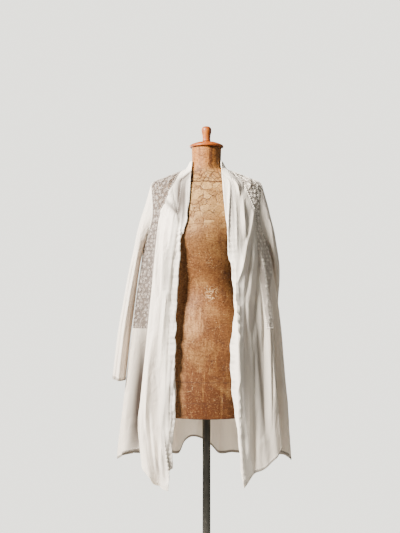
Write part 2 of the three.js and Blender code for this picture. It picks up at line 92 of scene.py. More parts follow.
floor_paint, tree = empty_material("pale_floor")
paint = node(tree, "BsdfPrincipled", None, {"Base Color": (0.62, 0.61, 0.585, 1), "Roughness": 0.8})
node(tree, "OutputMaterial", None, {"Surface": paint})
floor_mesh = bpy.data.meshes.new("floor")
rim = [(0.95 * math.cos(a), 0.95 * math.sin(a), 0) for a in np.linspace(0, 2 * math.pi, 97)[:-1]]
floor_mesh.from_pydata(rim, [], [list(range(96))])
floor_mesh.materials.append(floor_paint)
floor = bpy.data.objects.new("floor", floor_mesh)
bpy.context.scene.collection.objects.link(floor)


def soft_light(name, azimuth, height, distance, size, power, colour):
    """A square lamp at an azimuth from the front towards the wearer's left, aimed at the form."""
    aim_height = 1.1
    lamp = bpy.data.lights.new(name, "AREA")
    lamp.shape = "SQUARE"
    lamp.size = size
    lamp.energy = power
    lamp.color = colour
    made = bpy.data.objects.new(name, lamp)
    a = math.radians(azimuth)
    made.location = (distance * math.sin(a), -distance * math.cos(a), height)
    down = math.atan2(height - aim_height, distance)
    made.rotation_euler = (math.radians(90) - down, 0, a)
    bpy.context.scene.collection.objects.link(made)


soft_light("window", -51, 2.75, 2.5, 0.85, 690, (1.0, 0.93, 0.83))
soft_light("far_window", -86, 1.9, 2.6, 0.7, 30, (1.0, 0.94, 0.86))
soft_light("fill", 86, 1.9, 3.2, 2.2, 20, (1.0, 0.97, 0.93))
soft_light("wall_glow", 212, 1.0, 2.6, 2.4, 140, (1.0, 0.98, 0.95))

# ---- Pole and foot ----
# A steel tube with a satin gunmetal finish, let into the form's floor, and a round iron foot.


def new_piece(name, points, faces, places=None, sharp=0.6):
    """An object from points in millimetres and equal-sided faces, riding on the part's one body."""
    mesh = bpy.data.meshes.new(name)
    mesh.from_pydata((np.asarray(points) * 0.001).tolist(), [], np.asarray(faces).tolist())
    if places is not None:
        layer = mesh.uv_layers.new(name="spread")
        layer.data.foreach_set("uv", np.ascontiguousarray(places, dtype=np.float32).reshape(-1))
    mesh.shade_smooth()
    mesh.set_sharp_from_angle(angle=sharp)
    made = bpy.data.objects.new(name, mesh)
    bpy.context.scene.collection.objects.link(made)
    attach(made, "root")
    return made


def skin_of(name, rings):
    """A smooth surface through rings of points, each ring closed on itself."""
    count, sides = rings.shape[:2]
    r, c = np.meshgrid(np.arange(count - 1), np.arange(sides), indexing="ij")
    n = (c + 1) % sides
    faces = np.stack([r * sides + c, r * sides + n, (r + 1) * sides + n, (r + 1) * sides + c], -1)
    return new_piece(name, rings.reshape(-1, 3), faces.reshape(-1, 4), sharp=0.7)


def turned(name, profile, sides=72, rounds=2, cut=0.2):
    """A lathe-turned piece: a half section of (radius, height), its corners eased by cutting them."""
    line = np.array(profile, float)
    for _ in range(rounds):
        start, end = line[:-1] * (1 - cut) + line[1:] * cut, line[:-1] * cut + line[1:] * (1 - cut)
        line = np.concatenate([line[:1], np.stack([start, end], 1).reshape(-1, 2), line[-1:]])
    a = np.linspace(0, 2 * np.pi, sides + 1)[:-1][None, :]
    rings = np.stack([line[:, :1] * np.cos(a), line[:, :1] * np.sin(a), line[:, 1:] + 0 * a], -1)
    return skin_of(name, rings)


def calc(tree, operation, *values):
    """A maths node's result."""
    return node(tree, "Math", {"operation": operation}, dict(enumerate(values))).outputs[0]


def times(tree, first, second):
    return calc(tree, "MULTIPLY", first, second)


def plus(tree, first, second):
    return calc(tree, "ADD", first, second)


def raised(tree, height):
    """The surface's normals, bent as if it stood up by a height in metres."""
    return node(tree, "Bump", None, {"Strength": 1.0, "Distance": 1.0, "Height": height})


def over(tree, base, colour, mask):
    """Paint a colour over another where the mask is 1."""
    made = node(tree, "Mix", {"data_type": "RGBA", "clamp_factor": True}, {0: mask, 6: base, 7: colour})
    return made.outputs[2]


def ramp(tree, value, low, high, start=0.0, end=1.0):
    return node(tree, "MapRange", {"clamp": True}, {0: value, 1: low, 2: high, 3: start, 4: end}).outputs[0]


def grain(tree, at, scale, detail=3.0, rough=0.55, distortion=0.0):
    inputs = {"Vector": at, "Scale": scale, "Detail": detail, "Roughness": rough, "Distortion": distortion}
    return node(tree, "TexNoise", None, inputs).outputs[0]


def stretched(tree, at, x, y, z):
    return node(tree, "VectorMath", {"operation": "MULTIPLY"}, {0: at, 1: (x, y, z)}).outputs[0]


gunmetal, tree = empty_material("gunmetal")
at = node(tree, "TexCoord").outputs["Object"]
rub = grain(tree, stretched(tree, at, 30, 30, 14), 1.0, 4.0, 0.6)
colour = over(tree, (0.066, 0.065, 0.058, 1), (0.18, 0.175, 0.155, 1), ramp(tree, rub, 0.60, 0.72))
skin = node(tree, "BsdfPrincipled", None, {
    "Base Color": colour, "Metallic": 0.75, "Roughness": ramp(tree, rub, 0.35, 0.7, 0.30, 0.50)})
node(tree, "OutputMaterial", None, {"Surface": skin})
tube = turned("steel_tube", [
    (0.5, 34.4), (12.3, 34.4), (12.5, 35), (12.5, 719), (12.3, 719.6), (0.5, 719.6)], 48, 1)
tube.data.materials.append(gunmetal)
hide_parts("pole")

cast_iron, tree = empty_material("cast_iron")
at = node(tree, "TexCoord").outputs["Object"]
pits = grain(tree, at, 420.0, 3.0)
colour = over(tree, (0.035, 0.035, 0.033, 1), (0.07, 0.065, 0.06, 1), ramp(tree, pits, 0.55, 0.7))
skin = node(tree, "BsdfPrincipled", None, {
    "Base Color": colour, "Metallic": 0.4, "Roughness": 0.5,
    "Normal": raised(tree, times(tree, pits, 0.0005))})
node(tree, "OutputMaterial", None, {"Surface": skin})
foot = turned("iron_foot", [
    (0.5, 0), (168.5, 0), (170, 1.5), (170, 6), (167, 8), (120, 10.4), (64.5, 14), (30.5, 18), (26, 24),
    (24.5, 33), (23, 34), (0.5, 34)], 120, 1)
foot.data.materials.append(cast_iron)
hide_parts("foot")

# ---- Dress form ----
# A hollow torso and neck of layered paper under a thin leather skin, old and crackled: pale and
# crazed over the chest, worn brown and streaked below, with a dark join round the neck.


def table(columns, *rows):
    return [dict(zip(columns.split(), row)) for row in rows]


def curve(rows, key, value):
    """A smooth line through a table's rows that never overshoots them."""
    rows = sorted(rows, key=lambda row: row[key])
    x = np.array([row[key] for row in rows], float)
    y = np.array([row[value] for row in rows], float)
    slope = np.diff(y) / np.diff(x)
    product, total = slope[:-1] * slope[1:], slope[:-1] + slope[1:]
    inner = np.where(product > 0, 2 * product / np.where(product > 0, total, 1), 0)
    tangent = np.concatenate([slope[:1], inner, slope[-1:]])

    def read(at):
        q = np.clip(at, x[0], x[-1])
        i = np.clip(np.searchsorted(x, q) - 1, 0, len(x) - 2)
        span = x[i + 1] - x[i]
        t = (q - x[i]) / span
        s = 1 - t
        ends = y[i] * s * s * (1 + 2 * t) + y[i + 1] * t * t * (3 - 2 * t)
        return ends + span * t * s * (tangent[i] * s - tangent[i + 1] * t)

    return read


def curves(key, rows):
    return {name: curve(rows, key, name) for name in rows[0] if name != key}


def apart(tree, first, second):
    """How far two values are from each other."""
    return calc(tree, "ABSOLUTE", calc(tree, "SUBTRACT", first, second))


def cracks(tree, at, scale, width):
    """1 along the lines of a crackle, 0 inside its cells."""
    inputs = {"Vector": at, "Scale": scale}
    edges = node(tree, "TexVoronoi", {"feature": "DISTANCE_TO_EDGE"}, inputs).outputs[0]
    return ramp(tree, edges, 0.0, width, 1.0, 0.0)


def winding(tree, at, scale, width, seed):
    """1 along thin winding lines, as old varnish and leather crack."""
    place = node(tree, "VectorMath", {"operation": "ADD"}, {0: at, 1: (seed, seed, 0)}).outputs[0]
    off = apart(tree, grain(tree, place, scale, 3.0, 0.6), 0.5)
    return ramp(tree, off, width, width * 0.35)


def near_to(tree, at, spot, reach):
    """1 at a spot, fading to 0 at its reach."""
    away = node(tree, "VectorMath", {"operation": "DISTANCE"}, {0: at, 1: spot}).outputs["Value"]
    return ramp(tree, away, reach, reach * 0.45)


form_rings = curves("z", table(
    "z half front back",
    (1543, 46, 46, 46), (1500, 45, 45, 46), (1488, 47, 45, 52), (1476, 54, 45, 60), (1464, 88, 46, 73),
    (1450, 128.6, 51, 83), (1434, 163.4, 59, 91), (1422, 169, 68, 97), (1390, 170, 85, 103),
    (1340, 166, 104, 110), (1275, 151, 118, 108), (1200, 128, 104, 90), (1105, 110, 84, 76),
    (1015, 136, 96, 98), (920, 158, 104, 117), (820, 158, 104, 112), (720, 150, 100, 104),
))
# Closed below and above by rings that shrink almost to a point, and a little dented below the chest.
z = np.concatenate([np.linspace(720, 1543, 180), [1543]])
z = np.concatenate([[720, 720, 720.7, 722.5], z[1:]])
inset = np.concatenate([[0.04, 0.975, 0.99, 1.0], np.ones(len(z) - 5), [0.04]])
a = np.radians(np.linspace(0, 360, 145)[:-1])[None, :]
half, front, back = (form_rings[name](z)[:, None] for name in ("half", "front", "back"))
deep = np.where(np.cos(a) > 0, front, back)
dent = 0.7 * np.sin(3 * a + z[:, None] / 90) * np.sin(z[:, None] / 61) - 0.7
dent = dent * np.clip((1400 - z[:, None]) / 80, 0, 1)
rings = np.stack([-(half * inset[:, None] + dent) * np.sin(a), -(deep * inset[:, None] + dent) * np.cos(a),
                  np.broadcast_to(z[:, None], dent.shape)], -1)
form_skin = skin_of("form_skin_shell", rings)

aged_skin, tree = empty_material("aged_skin")
at = node(tree, "TexCoord").outputs["Object"]
axes = node(tree, "SeparateXYZ", None, {0: at}).outputs
height = axes[2]
drift = node(tree, "TexNoise", None, {"Vector": at, "Scale": 14.0, "Detail": 4.0}).outputs["Color"]
drift = node(tree, "VectorMath", {"operation": "SCALE"}, {0: drift, "Scale": 0.035}).outputs[0]
bent = node(tree, "VectorMath", {"operation": "ADD"}, {0: at, 1: drift}).outputs[0]

# The skin's colours from its floor to the top of the neck, then blotches, streaks and flecks in them.
colour = node(tree, "ValToRGB", None, {0: ramp(tree, height, 0.72, 1.56)})
stops = colour.color_ramp.elements
stops[0].position, stops[0].color = 0.0, (0.085, 0.024, 0.0055, 1)
stops[1].position, stops[1].color = 1.0, (0.34, 0.118, 0.020, 1)
for place, tone in (
        (0.10, (0.100, 0.032, 0.009)), (0.22, (0.130, 0.047, 0.013)), (0.38, (0.190, 0.076, 0.024)),
        (0.52, (0.170, 0.066, 0.019)), (0.66, (0.175, 0.078, 0.024)), (0.715, (0.195, 0.092, 0.027)),
        (0.735, (0.280, 0.152, 0.050)), (0.86, (0.340, 0.185, 0.060)), (0.91, (0.320, 0.125, 0.026))):
    stops.new(place).color = (*tone, 1)
colour = colour.outputs[0]
blotch = grain(tree, at, 13.0, 7.0, 0.68, 0.4)
colour = over(tree, colour, (0.085, 0.028, 0.008, 1), ramp(tree, blotch, 0.50, 0.72, 0.0, 0.75))
colour = over(tree, colour, (0.40, 0.215, 0.072, 1), ramp(tree, blotch, 0.47, 0.27, 0.0, 0.60))
streak = grain(tree, stretched(tree, at, 90, 90, 7), 1.0, 5.0, 0.7)
colour = over(tree, colour, (0.08, 0.026, 0.008, 1), ramp(tree, streak, 0.52, 0.70, 0.0, 0.55))
colour = over(tree, colour, (0.44, 0.235, 0.08, 1), ramp(tree, streak, 0.43, 0.28, 0.0, 0.42))
layers = grain(tree, stretched(tree, at, 16, 16, 330), 1.0, 4.0, 0.6)
colour = over(tree, colour, (0.10, 0.034, 0.011, 1), ramp(tree, layers, 0.55, 0.72, 0.0, 0.45))
chest = times(tree, ramp(tree, height, 1.285, 1.315), ramp(tree, height, 1.475, 1.455))
cell = node(tree, "TexVoronoi", None, {"Vector": bent, "Scale": 40.0}).outputs["Color"]
cell = node(tree, "SeparateColor", None, {0: cell}).outputs[0]
pale_cells = times(tree, chest, ramp(tree, cell, 0.40, 0.85, 0.0, 0.85))
colour = over(tree, colour, (0.43, 0.262, 0.100, 1), pale_cells)
fleck = grain(tree, at, 300.0, 3.0, 0.7)
colour = over(tree, colour, (0.62, 0.38, 0.18, 1), ramp(tree, fleck, 0.62, 0.70, 0.0, 0.8))
colour = over(tree, colour, (0.045, 0.015, 0.006, 1), ramp(tree, fleck, 0.38, 0.31, 0.0, 0.75))

# Crazing, most of it on the chest, splits below the neck, and winding dark and pale cracks.
worn = grain(tree, at, 26.0, 4.0)
craze = times(tree, cracks(tree, bent, 40.0, 0.055), ramp(tree, worn, 0.40, 0.56))
craze = times(tree, craze, ramp(tree, chest, 0.0, 1.0, 0.10, 1.0))
split = times(tree, ramp(tree, height, 1.440, 1.446), ramp(tree, height, 1.486, 1.462))
split = times(tree, split, cracks(tree, bent, 46.0, 0.10))
craze = calc(tree, "MAXIMUM", craze, split)
dark_lines = times(tree, winding(tree, at, 21.0, 0.0045, 3), ramp(tree, worn, 0.46, 0.54))
dark_cracks = calc(tree, "MAXIMUM", craze, times(tree, dark_lines, 0.75))
colour = over(tree, colour, (0.06, 0.02, 0.008, 1), dark_cracks)
squiggle = times(tree, winding(tree, at, 60.0, 0.020, 9), near_to(tree, at, (0.014, -0.082, 1.095), 0.030))
pale_lines = times(tree, winding(tree, at, 34.0, 0.006, 5), ramp(tree, worn, 0.58, 0.64))
pale_cracks = calc(tree, "MAXIMUM", squiggle, times(tree, pale_lines, 0.8))
colour = over(tree, colour, (0.75, 0.52, 0.28, 1), pale_cracks)

# Painted light over the form's side where the front's shadow falls, a rubbed spot at the waist that is
# partly a painted highlight, a drip from the neck, joins round the form, and a crust.
# Painted light: lightens the wearer's right side below the chest, where the front casts its shadow.
painted_light_in_shadow = times(tree, ramp(tree, axes[0], -0.060, -0.082), ramp(tree, height, 1.36, 1.26))
colour = over(tree, colour, (0.34, 0.175, 0.075, 1), times(tree, painted_light_in_shadow, 0.55))
# Partly real wear, partly a painted highlight: a lighter spot at the waist.
rubbed_spot_and_highlight = times(tree, near_to(tree, at, (-0.046, -0.090, 1.010), 0.055), ramp(tree, streak, 0.60, 0.40))
colour = over(tree, colour, (0.50, 0.27, 0.11, 1), times(tree, rubbed_spot_and_highlight, 0.7))
drip_line = ramp(tree, grain(tree, stretched(tree, at, 0, 0, 60), 1.0), 0.3, 0.7, 0.008, 0.018)
drip = ramp(tree, apart(tree, axes[0], drip_line), 0.0065, 0.0045)
drip = times(tree, drip, times(tree, ramp(tree, height, 1.468, 1.480), ramp(tree, axes[1], 0.0, -0.02)))
colour = over(tree, colour, (0.06, 0.018, 0.007, 1), times(tree, drip, 0.8))
wander = times(tree, calc(tree, "SUBTRACT", grain(tree, stretched(tree, at, 40, 40, 0), 1.0), 0.5), 0.012)
joins = None
for level, width, share in (
        (1.4335, 0.0028, 0.9), (1.444, 0.0014, 0.6), (0.831, 0.0014, 0.6), (0.768, 0.0012, 0.5),
        (1.302, 0.0014, 0.5)):
    off = apart(tree, plus(tree, height, wander), level)
    line = ramp(tree, off, width, width * 0.4, 0.0, share)
    joins = line if joins is None else calc(tree, "MAXIMUM", joins, line)
colour = over(tree, colour, (0.05, 0.016, 0.007, 1), joins)
crust = grain(tree, stretched(tree, at, 150, 150, 230), 1.0, 4.0, 0.75)
colour = over(tree, colour, (0.05, 0.016, 0.004, 1), ramp(tree, crust, 0.50, 0.62, 0.0, 0.60))
colour = over(tree, colour, (0.42, 0.23, 0.08, 1), ramp(tree, crust, 0.44, 0.34, 0.0, 0.30))
colour = over(tree, colour, (0.0, 0.0, 0.0, 1), 0.18)
sunk = times(tree, plus(tree, plus(tree, craze, joins), dark_lines), -0.0009)
relief = plus(tree, sunk, times(tree, blotch, 0.0035))
relief = plus(tree, relief, times(tree, streak, 0.0008))
relief = plus(tree, relief, times(tree, fleck, 0.0006))
gloss = ramp(tree, streak, 0.3, 0.7, 0.46, 0.70)
skin = node(tree, "BsdfPrincipled", None, {
    "Base Color": colour, "Roughness": gloss, "Specular IOR Level": 0.2, "Normal": raised(tree, relief)})
node(tree, "OutputMaterial", None, {"Surface": skin})
form_skin.data.materials.append(aged_skin)
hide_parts("form_body")

# ---- Neck cap and knob ----
# Turned from one kind of wood: a low domed cap that closes the neck, with a knob pegged into it.
worn_wood, tree = empty_material("worn_wood")
at = node(tree, "TexCoord").outputs["Object"]
fibres = grain(tree, stretched(tree, at, 260, 40, 60), 1.0, 4.0, 0.6, 0.4)
colour = over(tree, (0.25, 0.058, 0.006, 1), (0.125, 0.028, 0.005, 1), ramp(tree, fibres, 0.42, 0.68))
colour = over(tree, colour, (0.40, 0.145, 0.024, 1), ramp(tree, grain(tree, at, 45.0), 0.56, 0.72, 0.0, 0.6))
skin = node(tree, "BsdfPrincipled", None, {
    "Base Color": colour, "Roughness": ramp(tree, fibres, 0.3, 0.7, 0.32, 0.52),
    "Specular IOR Level": 0.3, "Normal": raised(tree, times(tree, fibres, 0.0003))})
node(tree, "OutputMaterial", None, {"Surface": skin})

cap = turned("turned_cap", [
    (0.5, 1543.4), (50, 1543.4), (52.6, 1545), (53, 1548), (51.5, 1551), (50, 1551.6), (49, 1552.4),
    (45, 1554.3), (32, 1559.3), (18, 1562), (0.5, 1562.7)])
cap.data.materials.append(worn_wood)
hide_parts("neck_cap")
knob = turned("turned_knob", [
    (0.4, 1563.2), (12.4, 1563.2), (13, 1565.5), (12, 1568), (11.9, 1571), (12.6, 1581), (15, 1591),
    (15.6, 1599), (14, 1605), (9, 1609.5), (0.4, 1611)])
knob.data.materials.append(worn_wood)
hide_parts("cap_knob")

# ---- Back panel ----
# One piece of thin plain-weave cotton from the collar seam to the hem, flared so that it hangs in
# uneven folds, its lower edge turned up and stitched. All the body's panels hang in one surface,
# told by the degrees round the body from the centre front past the wearer's right, and a level.


cloth_rings = curves("z", table(
    "z right left front back",
    (1500, 50, 50, 50, 54),
    (1478, 63, 63, 53, 68),
    (1466, 93, 93, 55, 80),
    (1452, 127, 127, 61, 90),
    (1436, 164, 164, 68, 98),
    (1422, 173, 173, 76, 103),
    (1390, 176, 176, 92, 109),
    (1340, 178, 178, 110, 114),
    (1270, 188, 188, 126, 119),
    (1165, 203, 205, 127, 124),
    (1020, 221, 226, 123, 131),
    (850, 241, 240, 121, 140),
    (700, 258, 250, 125, 150),
    (570, 270, 257, 132, 160),
))
front_edges = curves("z", table(
    "z right left band",
    (1500, 44, 44, 13),
    (1478, 45, 45, 18),
    (1440, 48, 47, 28),
    (1380, 51, 51, 34),
    (1320, 59, 57, 36),
    (1260, 75, 63, 36),
    (1165, 91, 74, 36),
    (1072, 96, 77, 36),
    (950, 95, 72, 36),
    (830, 92, 74, 36),
    (720, 95, 83, 36),
    (640, 104, 92, 36),
    (570, 112, 108, 36),
))
lace_edges = curves("z", table(
    "z right_from right_to left_from left_to",
    (1490, 89, 90, 89, 90),
    (1478, 82.5, 90, 82.5, 90),
    (1466, 58, 90, 58, 90),
    (1452, 42.5, 90, 45, 90),
    (1436, 35, 90, 40, 90),
    (1405, 38.5, 90, 43, 90),
    (1370, 45, 90, 49, 90),
    (1340, 50.5, 90, 53, 90),
    (1240, 53, 90, 50, 90),
    (1100, 54, 85, 51, 73),
    (570, 55, 84, 52, 72),
))
hem_line = curve(table(
    "around z",
    (18, 515), (28, 519), (38, 529), (46, 560), (54, 600), (62, 622), (78, 592), (92, 580),
    (112, 588), (128, 572), (150, 566), (159, 570), (165, 596), (170, 605), (179, 599),
    (190, 568), (212, 563), (232, 574), (250, 584), (268, 576), (283, 600), (294, 634),
    (303, 628), (310, 602), (318, 572), (326, 560), (334, 530), (338, 524),
), "around", "z")
# The hanging folds: how far each stands out or in at the hem, and how far it leans on round.
folds = table(
    "side at width top out lean tip",
    (1, 27, 7, 1330, 9, 0, -4),
    (1, 35, 7, 1250, -11, 0, -8),
    (1, 45, 12, 1400, 16, 14, -44),
    (1, 60, 12, 1380, -46, -24, -14),
    (1, 90, 13, 1250, 7, 0, 0),
    (1, 109, 10, 1180, -26, 0, 0),
    (1, 126, 10, 1120, 17, -6, 0),
    (1, 143, 9, 1150, -24, 0, 0),
    (1, 150, 7, 1050, 10, 0, 0),
    (1, 158, 8, 1100, -36, 0, 0),
    (1, 172.5, 12, 1130, 44, 0, 0),
    (-1, 24, 7, 1330, 20, -5, 0),
    (-1, 36, 8, 1150, -9, 0, 0),
    (-1, 54, 12, 1400, 10, 9, 0),
    (-1, 68, 11, 1380, -44, -24, 0),
    (-1, 92, 12, 1250, 6, 0, 0),
    (-1, 112, 10, 1180, -22, 0, 0),
    (-1, 130, 10, 1100, 12, 0, 0),
    (-1, 147, 9, 1120, -18, 0, 0),
    (-1, 168, 9, 1130, -36, 0, 0),
)
# Creases pressed or pulled into the cloth: lines down from one place to another, half width and
# height. Some are wider or narrower on the side farther round, which is their past.
creases = table(
    "from_around from_z to_around to_z width out past",
    (44.75, 1457, 34.75, 1355, 34, 11, 9), (32.5, 1361, 35.25, 1223, 24, 6, 9),
    (48.75, 1397, 27.75, 1343, 9, 7), (48, 1373, 29.5, 1325, 9, -7.5),
    (56.5, 1364, 35.5, 1301, 9, 6), (42.25, 1469, 22, 1268, 8, -4.5),
    (41, 1463, 26.5, 1289, 7, 3.6), (19.25, 1442, 19, 1253, 6, 3),
    (23.5, 1358, 26.25, 1190, 8, 4.6), (26.5, 1328, 29, 1151, 8, -4.4),
    (41.5, 1331, 38.5, 1106, 22, 10, 10), (52.75, 1361, 42.75, 1076, 10, 6),
    (41.25, 1253, 40.25, 1076, 8, -4), (29.25, 1253, 29.75, 989, 11, -6.4),
    (34.25, 1106, 35.75, 863, 14, 7), (27.5, 1076, 25.25, 791, 8, 4.4),
    (30, 1046, 29.25, 803, 6, -3.6), (27.5, 1025, 25, 710, 6, -6.5, 20),
    (42, 986, 41.5, 731, 12, 7), (30, 788, 32, 611, 9, 6),
    (34.5, 722, 26.25, 584, 8, -7.2), (29.5, 716, 24.5, 587, 6, 5.8),
    (25.25, 689, 23, 584, 5, -4.6), (37.75, 707, 36, 599, 8, 6),
    (40.25, 758, 38.75, 644, 6, -4.4), (37.5, 644, 28.5, 599, 5, 3.4),
    (27, 989, 24.25, 872, 6, 3.4), (25.25, 842, 23.5, 728, 6, -3.6),
    (43.5, 980, 41, 677, 6, 7), (76.5, 761, 70.25, 572, 7, -6.5),
    (67.75, 692, 68, 572, 6, 6.5), (66, 719, 65.75, 572, 7, -7),
    (48, 761, 47.75, 638, 5, 6), (330.5, 1454, 326, 1388, 8, 7),
    (315, 1466, 320.2, 1403, 7, -6), (295.5, 1469, 315.8, 1406, 9, 6.5),
    (335.8, 1448, 340.2, 1277, 7, 5), (336.5, 1388, 339, 1190, 7, -4.5),
    (330, 1373, 332.8, 1223, 6, 3), (322, 1385, 323.2, 1253, 14, 7.5),
    (306.2, 1358, 322.8, 1235, 12, 6.5), (320.8, 1256, 334.2, 1124, 12, 8),
    (314.8, 1256, 327.8, 1076, 14, -7.5), (334.5, 1190, 338, 617, 9, 8),
    (307, 1190, 315.8, 653, 13, -17, 80), (300.2, 1322, 323.2, 956, 30, -11),
    (328, 1079, 331.2, 842, 8, -3), (310.5, 1106, 314.2, 926, 10, 2.5),
    (320.8, 926, 323.8, 749, 11, -4.5), (328.8, 812, 329.8, 623, 12, 4.5),
    (318.8, 746, 321.5, 617, 13, 2.5), (302.8, 1076, 310.8, 668, 7, -4),
    (334.2, 737, 332.5, 593, 8, -4), (325, 692, 325, 578, 7, -3.6),
    (283.8, 983, 284.8, 617, 9, 5.5), (286.5, 1013, 308.5, 662, 7, -4),
    (60, 1010, 61, 574, 8, -26, 36), (74, 1250, 74, 590, 16, 10, 44),
    (95, 760, 92, 580, 6, 2.2),
    (272, 820, 268, 590, 6, 2.0),
    (135, 1300, 128, 1060, 14, 4.2),
    (150, 1330, 158, 1090, 13, -3.4),
    (168, 1340, 165, 1000, 16, 4.4),
    (188, 1330, 192, 1020, 14, -3.6),
    (205, 1310, 200, 1060, 14, 4.0),
    (222, 1290, 230, 1080, 13, 3.6),
    (180, 1250, 176, 900, 11, 3.4),
    (140, 1000, 136, 700, 10, 3.6),
    (152, 900, 156, 620, 8, -3.4),
    (183, 900, 186, 620, 9, -3.6),
    (198, 980, 203, 640, 10, 3.8),
    (212, 860, 209, 590, 8, -3.6),
    (226, 920, 222, 620, 9, 3.4),
    (243, 880, 247, 600, 8, 3.2),
    (117, 900, 120, 600, 9, 3.4),
    (160, 760, 166, 590, 6, 2.8),
    (174, 720, 171, 580, 6, -2.6),
    (191, 700, 194, 575, 6, 2.6),
    (234, 720, 230, 580, 6, -2.6),
    (129, 720, 133, 580, 6, -2.4),
)
# Painted shade: lines where the cloth's colour is darkened to stand in for the shade in its folds and
# hollows.
painted_shade_lines = table(
    "from_around from_z to_around to_z width grey past",
    (46.75, 1382, 27.75, 1331, 19, 0.79), (29.3, 1490, 27.5, 1290, 36, 0.92),
    (31, 1492, 27, 1430, 18, 0.48), (30.25, 1190, 25.75, 740, 18, 0.49),
    (28.75, 1298, 27.75, 1136, 13, 0.32), (28.75, 830, 32, 671, 19, 0.38),
    (29.5, 707, 29.25, 572, 14, 0.61), (37, 644, 31.5, 572, 11, 0.43),
    (25, 689, 23.75, 581, 8, 0.43), (315, 1466, 322.2, 1400, 13, 0.8),
    (334.5, 1436, 337.8, 1205, 8, 0.58), (331.2, 1373, 330.8, 1223, 10, 0.32),
    (317.5, 1358, 325.5, 1253, 10, 0.29), (322.8, 1076, 323.8, 839, 32, 0.23),
    (331.5, 1076, 332.8, 734, 14, 0.23), (289.2, 1073, 311, 671, 11, 0.43),
    (66.3, 1035, 66, 470, 30, 1.15, 22), (318, 1080, 316, 560, 28, 0.68),
    (22, 1496, 22.5, 1290, 32, 0.72), (298, 1475, 326, 1440, 13, 1.04),
    (326, 1456, 322, 1390, 14, 0.96), (308, 1462, 319, 1370, 11, 0.72),
    (335, 1446, 333, 1285, 10, 0.48),
)
MM_PER_DEGREE = 3.3
HEM, COLLAR_TOP = 570, 1500
# The middle of each armhole, half its height and, in degrees round the body, half its width.
ARMHOLE_LEVEL, ARMHOLE_HIGH, ARMHOLE_WIDE = 1338, 98, 22


def along(lines, key, around, level):
    """The height of a set of lines at places on the cloth, each fading out at its sides and ends."""
    total = 0 * around
    for c in lines:
        run = (c["to_around"] - c["from_around"]) * MM_PER_DEGREE
        fall = c["to_z"] - c["from_z"]
        length = math.hypot(run, fall)
        du, dv = (around - c["from_around"]) * MM_PER_DEGREE, level - c["from_z"]
        t = np.clip((du * run + dv * fall) / length**2, 0, 1)
        off = (dv * run - du * fall) / length
        off = np.where(off > 0, off / c.get("past", c["width"]), -off / c["width"])
        total = total + c[key] * np.sin(np.pi * t) ** 0.7 * np.clip(1 - off, 0, 1) ** 1.6
    return total


# Painted shade: how far the cloth's colour is darkened at each place, up to all of it.
def painted_shade_share(around, level):
    return np.clip(along(painted_shade_lines, "grey", around, level), 0, 1)


def press(around, level):
    """How far the creases and the cloth's own unevenness lift it, in millimetres. Over the
    shoulders they can't press it into the form."""
    lift = along(creases, "out", around, level)
    loose = np.clip((1290 - level) / 420, 0, 1)
    lift += loose * 0.9 * np.sin(around * 0.55 + 1.3 * np.sin(level / 95) + 0.7)
    lift += loose * 0.7 * np.sin(around * 0.97 - level / 120 + 2.0 * np.sin(around / 23))
    lift += loose * 0.5 * np.sin(level / 31 + around * 0.31) * np.sin(around * 0.19 + 1)
    a = np.radians(around)
    x = np.where(around < 180, cloth_rings["right"](level), cloth_rings["left"](level)) * np.sin(a)
    front = np.cos(a) > 0
    y = np.where(front, cloth_rings["front"](level), cloth_rings["back"](level)) * np.cos(a)
    deep = np.where(front, form_rings["front"](level), form_rings["back"](level))
    ratio = np.hypot(x / form_rings["half"](level), y / deep)
    room = np.hypot(x, y) * (1 - 1 / ratio) * 0.7 - 1.3
    return np.where(level > 1250, np.maximum(lift, -np.maximum(room, 0)), lift)


def hang(around, level):
    """Points of the body cloth's middle surface, in millimetres."""
    around, level = np.broadcast_arrays(np.asarray(around, float), np.asarray(level, float))
    a = np.radians(around)
    across = np.where(around < 180, cloth_rings["right"](level), cloth_rings["left"](level))
    deep = np.where(np.cos(a) > 0, cloth_rings["front"](level), cloth_rings["back"](level))
    outward = np.stack([-np.sin(a) / across, -np.cos(a) / deep, 0 * a], -1)
    outward /= np.linalg.norm(outward, axis=-1, keepdims=True)
    onward = np.stack([outward[..., 1], -outward[..., 0], 0 * a], -1)
    out, lean = press(around, level), 0 * a
    corner = np.clip((735 - level) / (735 - HEM), 0, 1) ** 1.5
    for fold in folds:
        place = around if fold["side"] > 0 else 360 - around
        x = np.clip((place - fold["at"]) / fold["width"], -1, 1)
        share = (1 + np.cos(np.pi * x)) / 2
        growth = np.clip((fold["top"] - level) / (fold["top"] - HEM), 0, 1) ** 1.15
        out = out + share * fold["out"] * growth
        lean = lean + share * fold["side"] * (fold["lean"] * growth + fold["tip"] * corner)
    sway = np.clip((900 - level) / (900 - HEM), 0, 1) ** 1.6
    point = np.stack([-across * np.sin(a), -deep * np.cos(a), level + (hem_line(around) - HEM) * sway], -1)
    return point + outward * out[..., None] + onward * lean[..., None]


def facing(around, level):
    """The way the body cloth faces, outwards."""
    onward = hang(around + 0.12, level) - hang(around - 0.12, level)
    upward = hang(around, np.minimum(level + 0.5, COLLAR_TOP)) - hang(around, np.maximum(level - 0.5, HEM))
    normal = np.cross(upward, onward)
    return normal / np.linalg.norm(normal, axis=-1, keepdims=True)


def round_scale(around, level):
    """Millimetres of hung cloth in one degree round the body."""
    return np.linalg.norm(hang(around + 0.5, level) - hang(around - 0.5, level), axis=-1)


def flat_place(around, level):
    """Where a place lies on the flat cloth, in metres."""
    return np.stack([around * MM_PER_DEGREE, level - HEM], -1) * 0.001


def edge_around(side, level):
    share = np.minimum(front_edges[side](level) / cloth_rings[side](level), 0.98)
    place = np.degrees(np.arcsin(share))
    return place if side == "right" else 360 - place


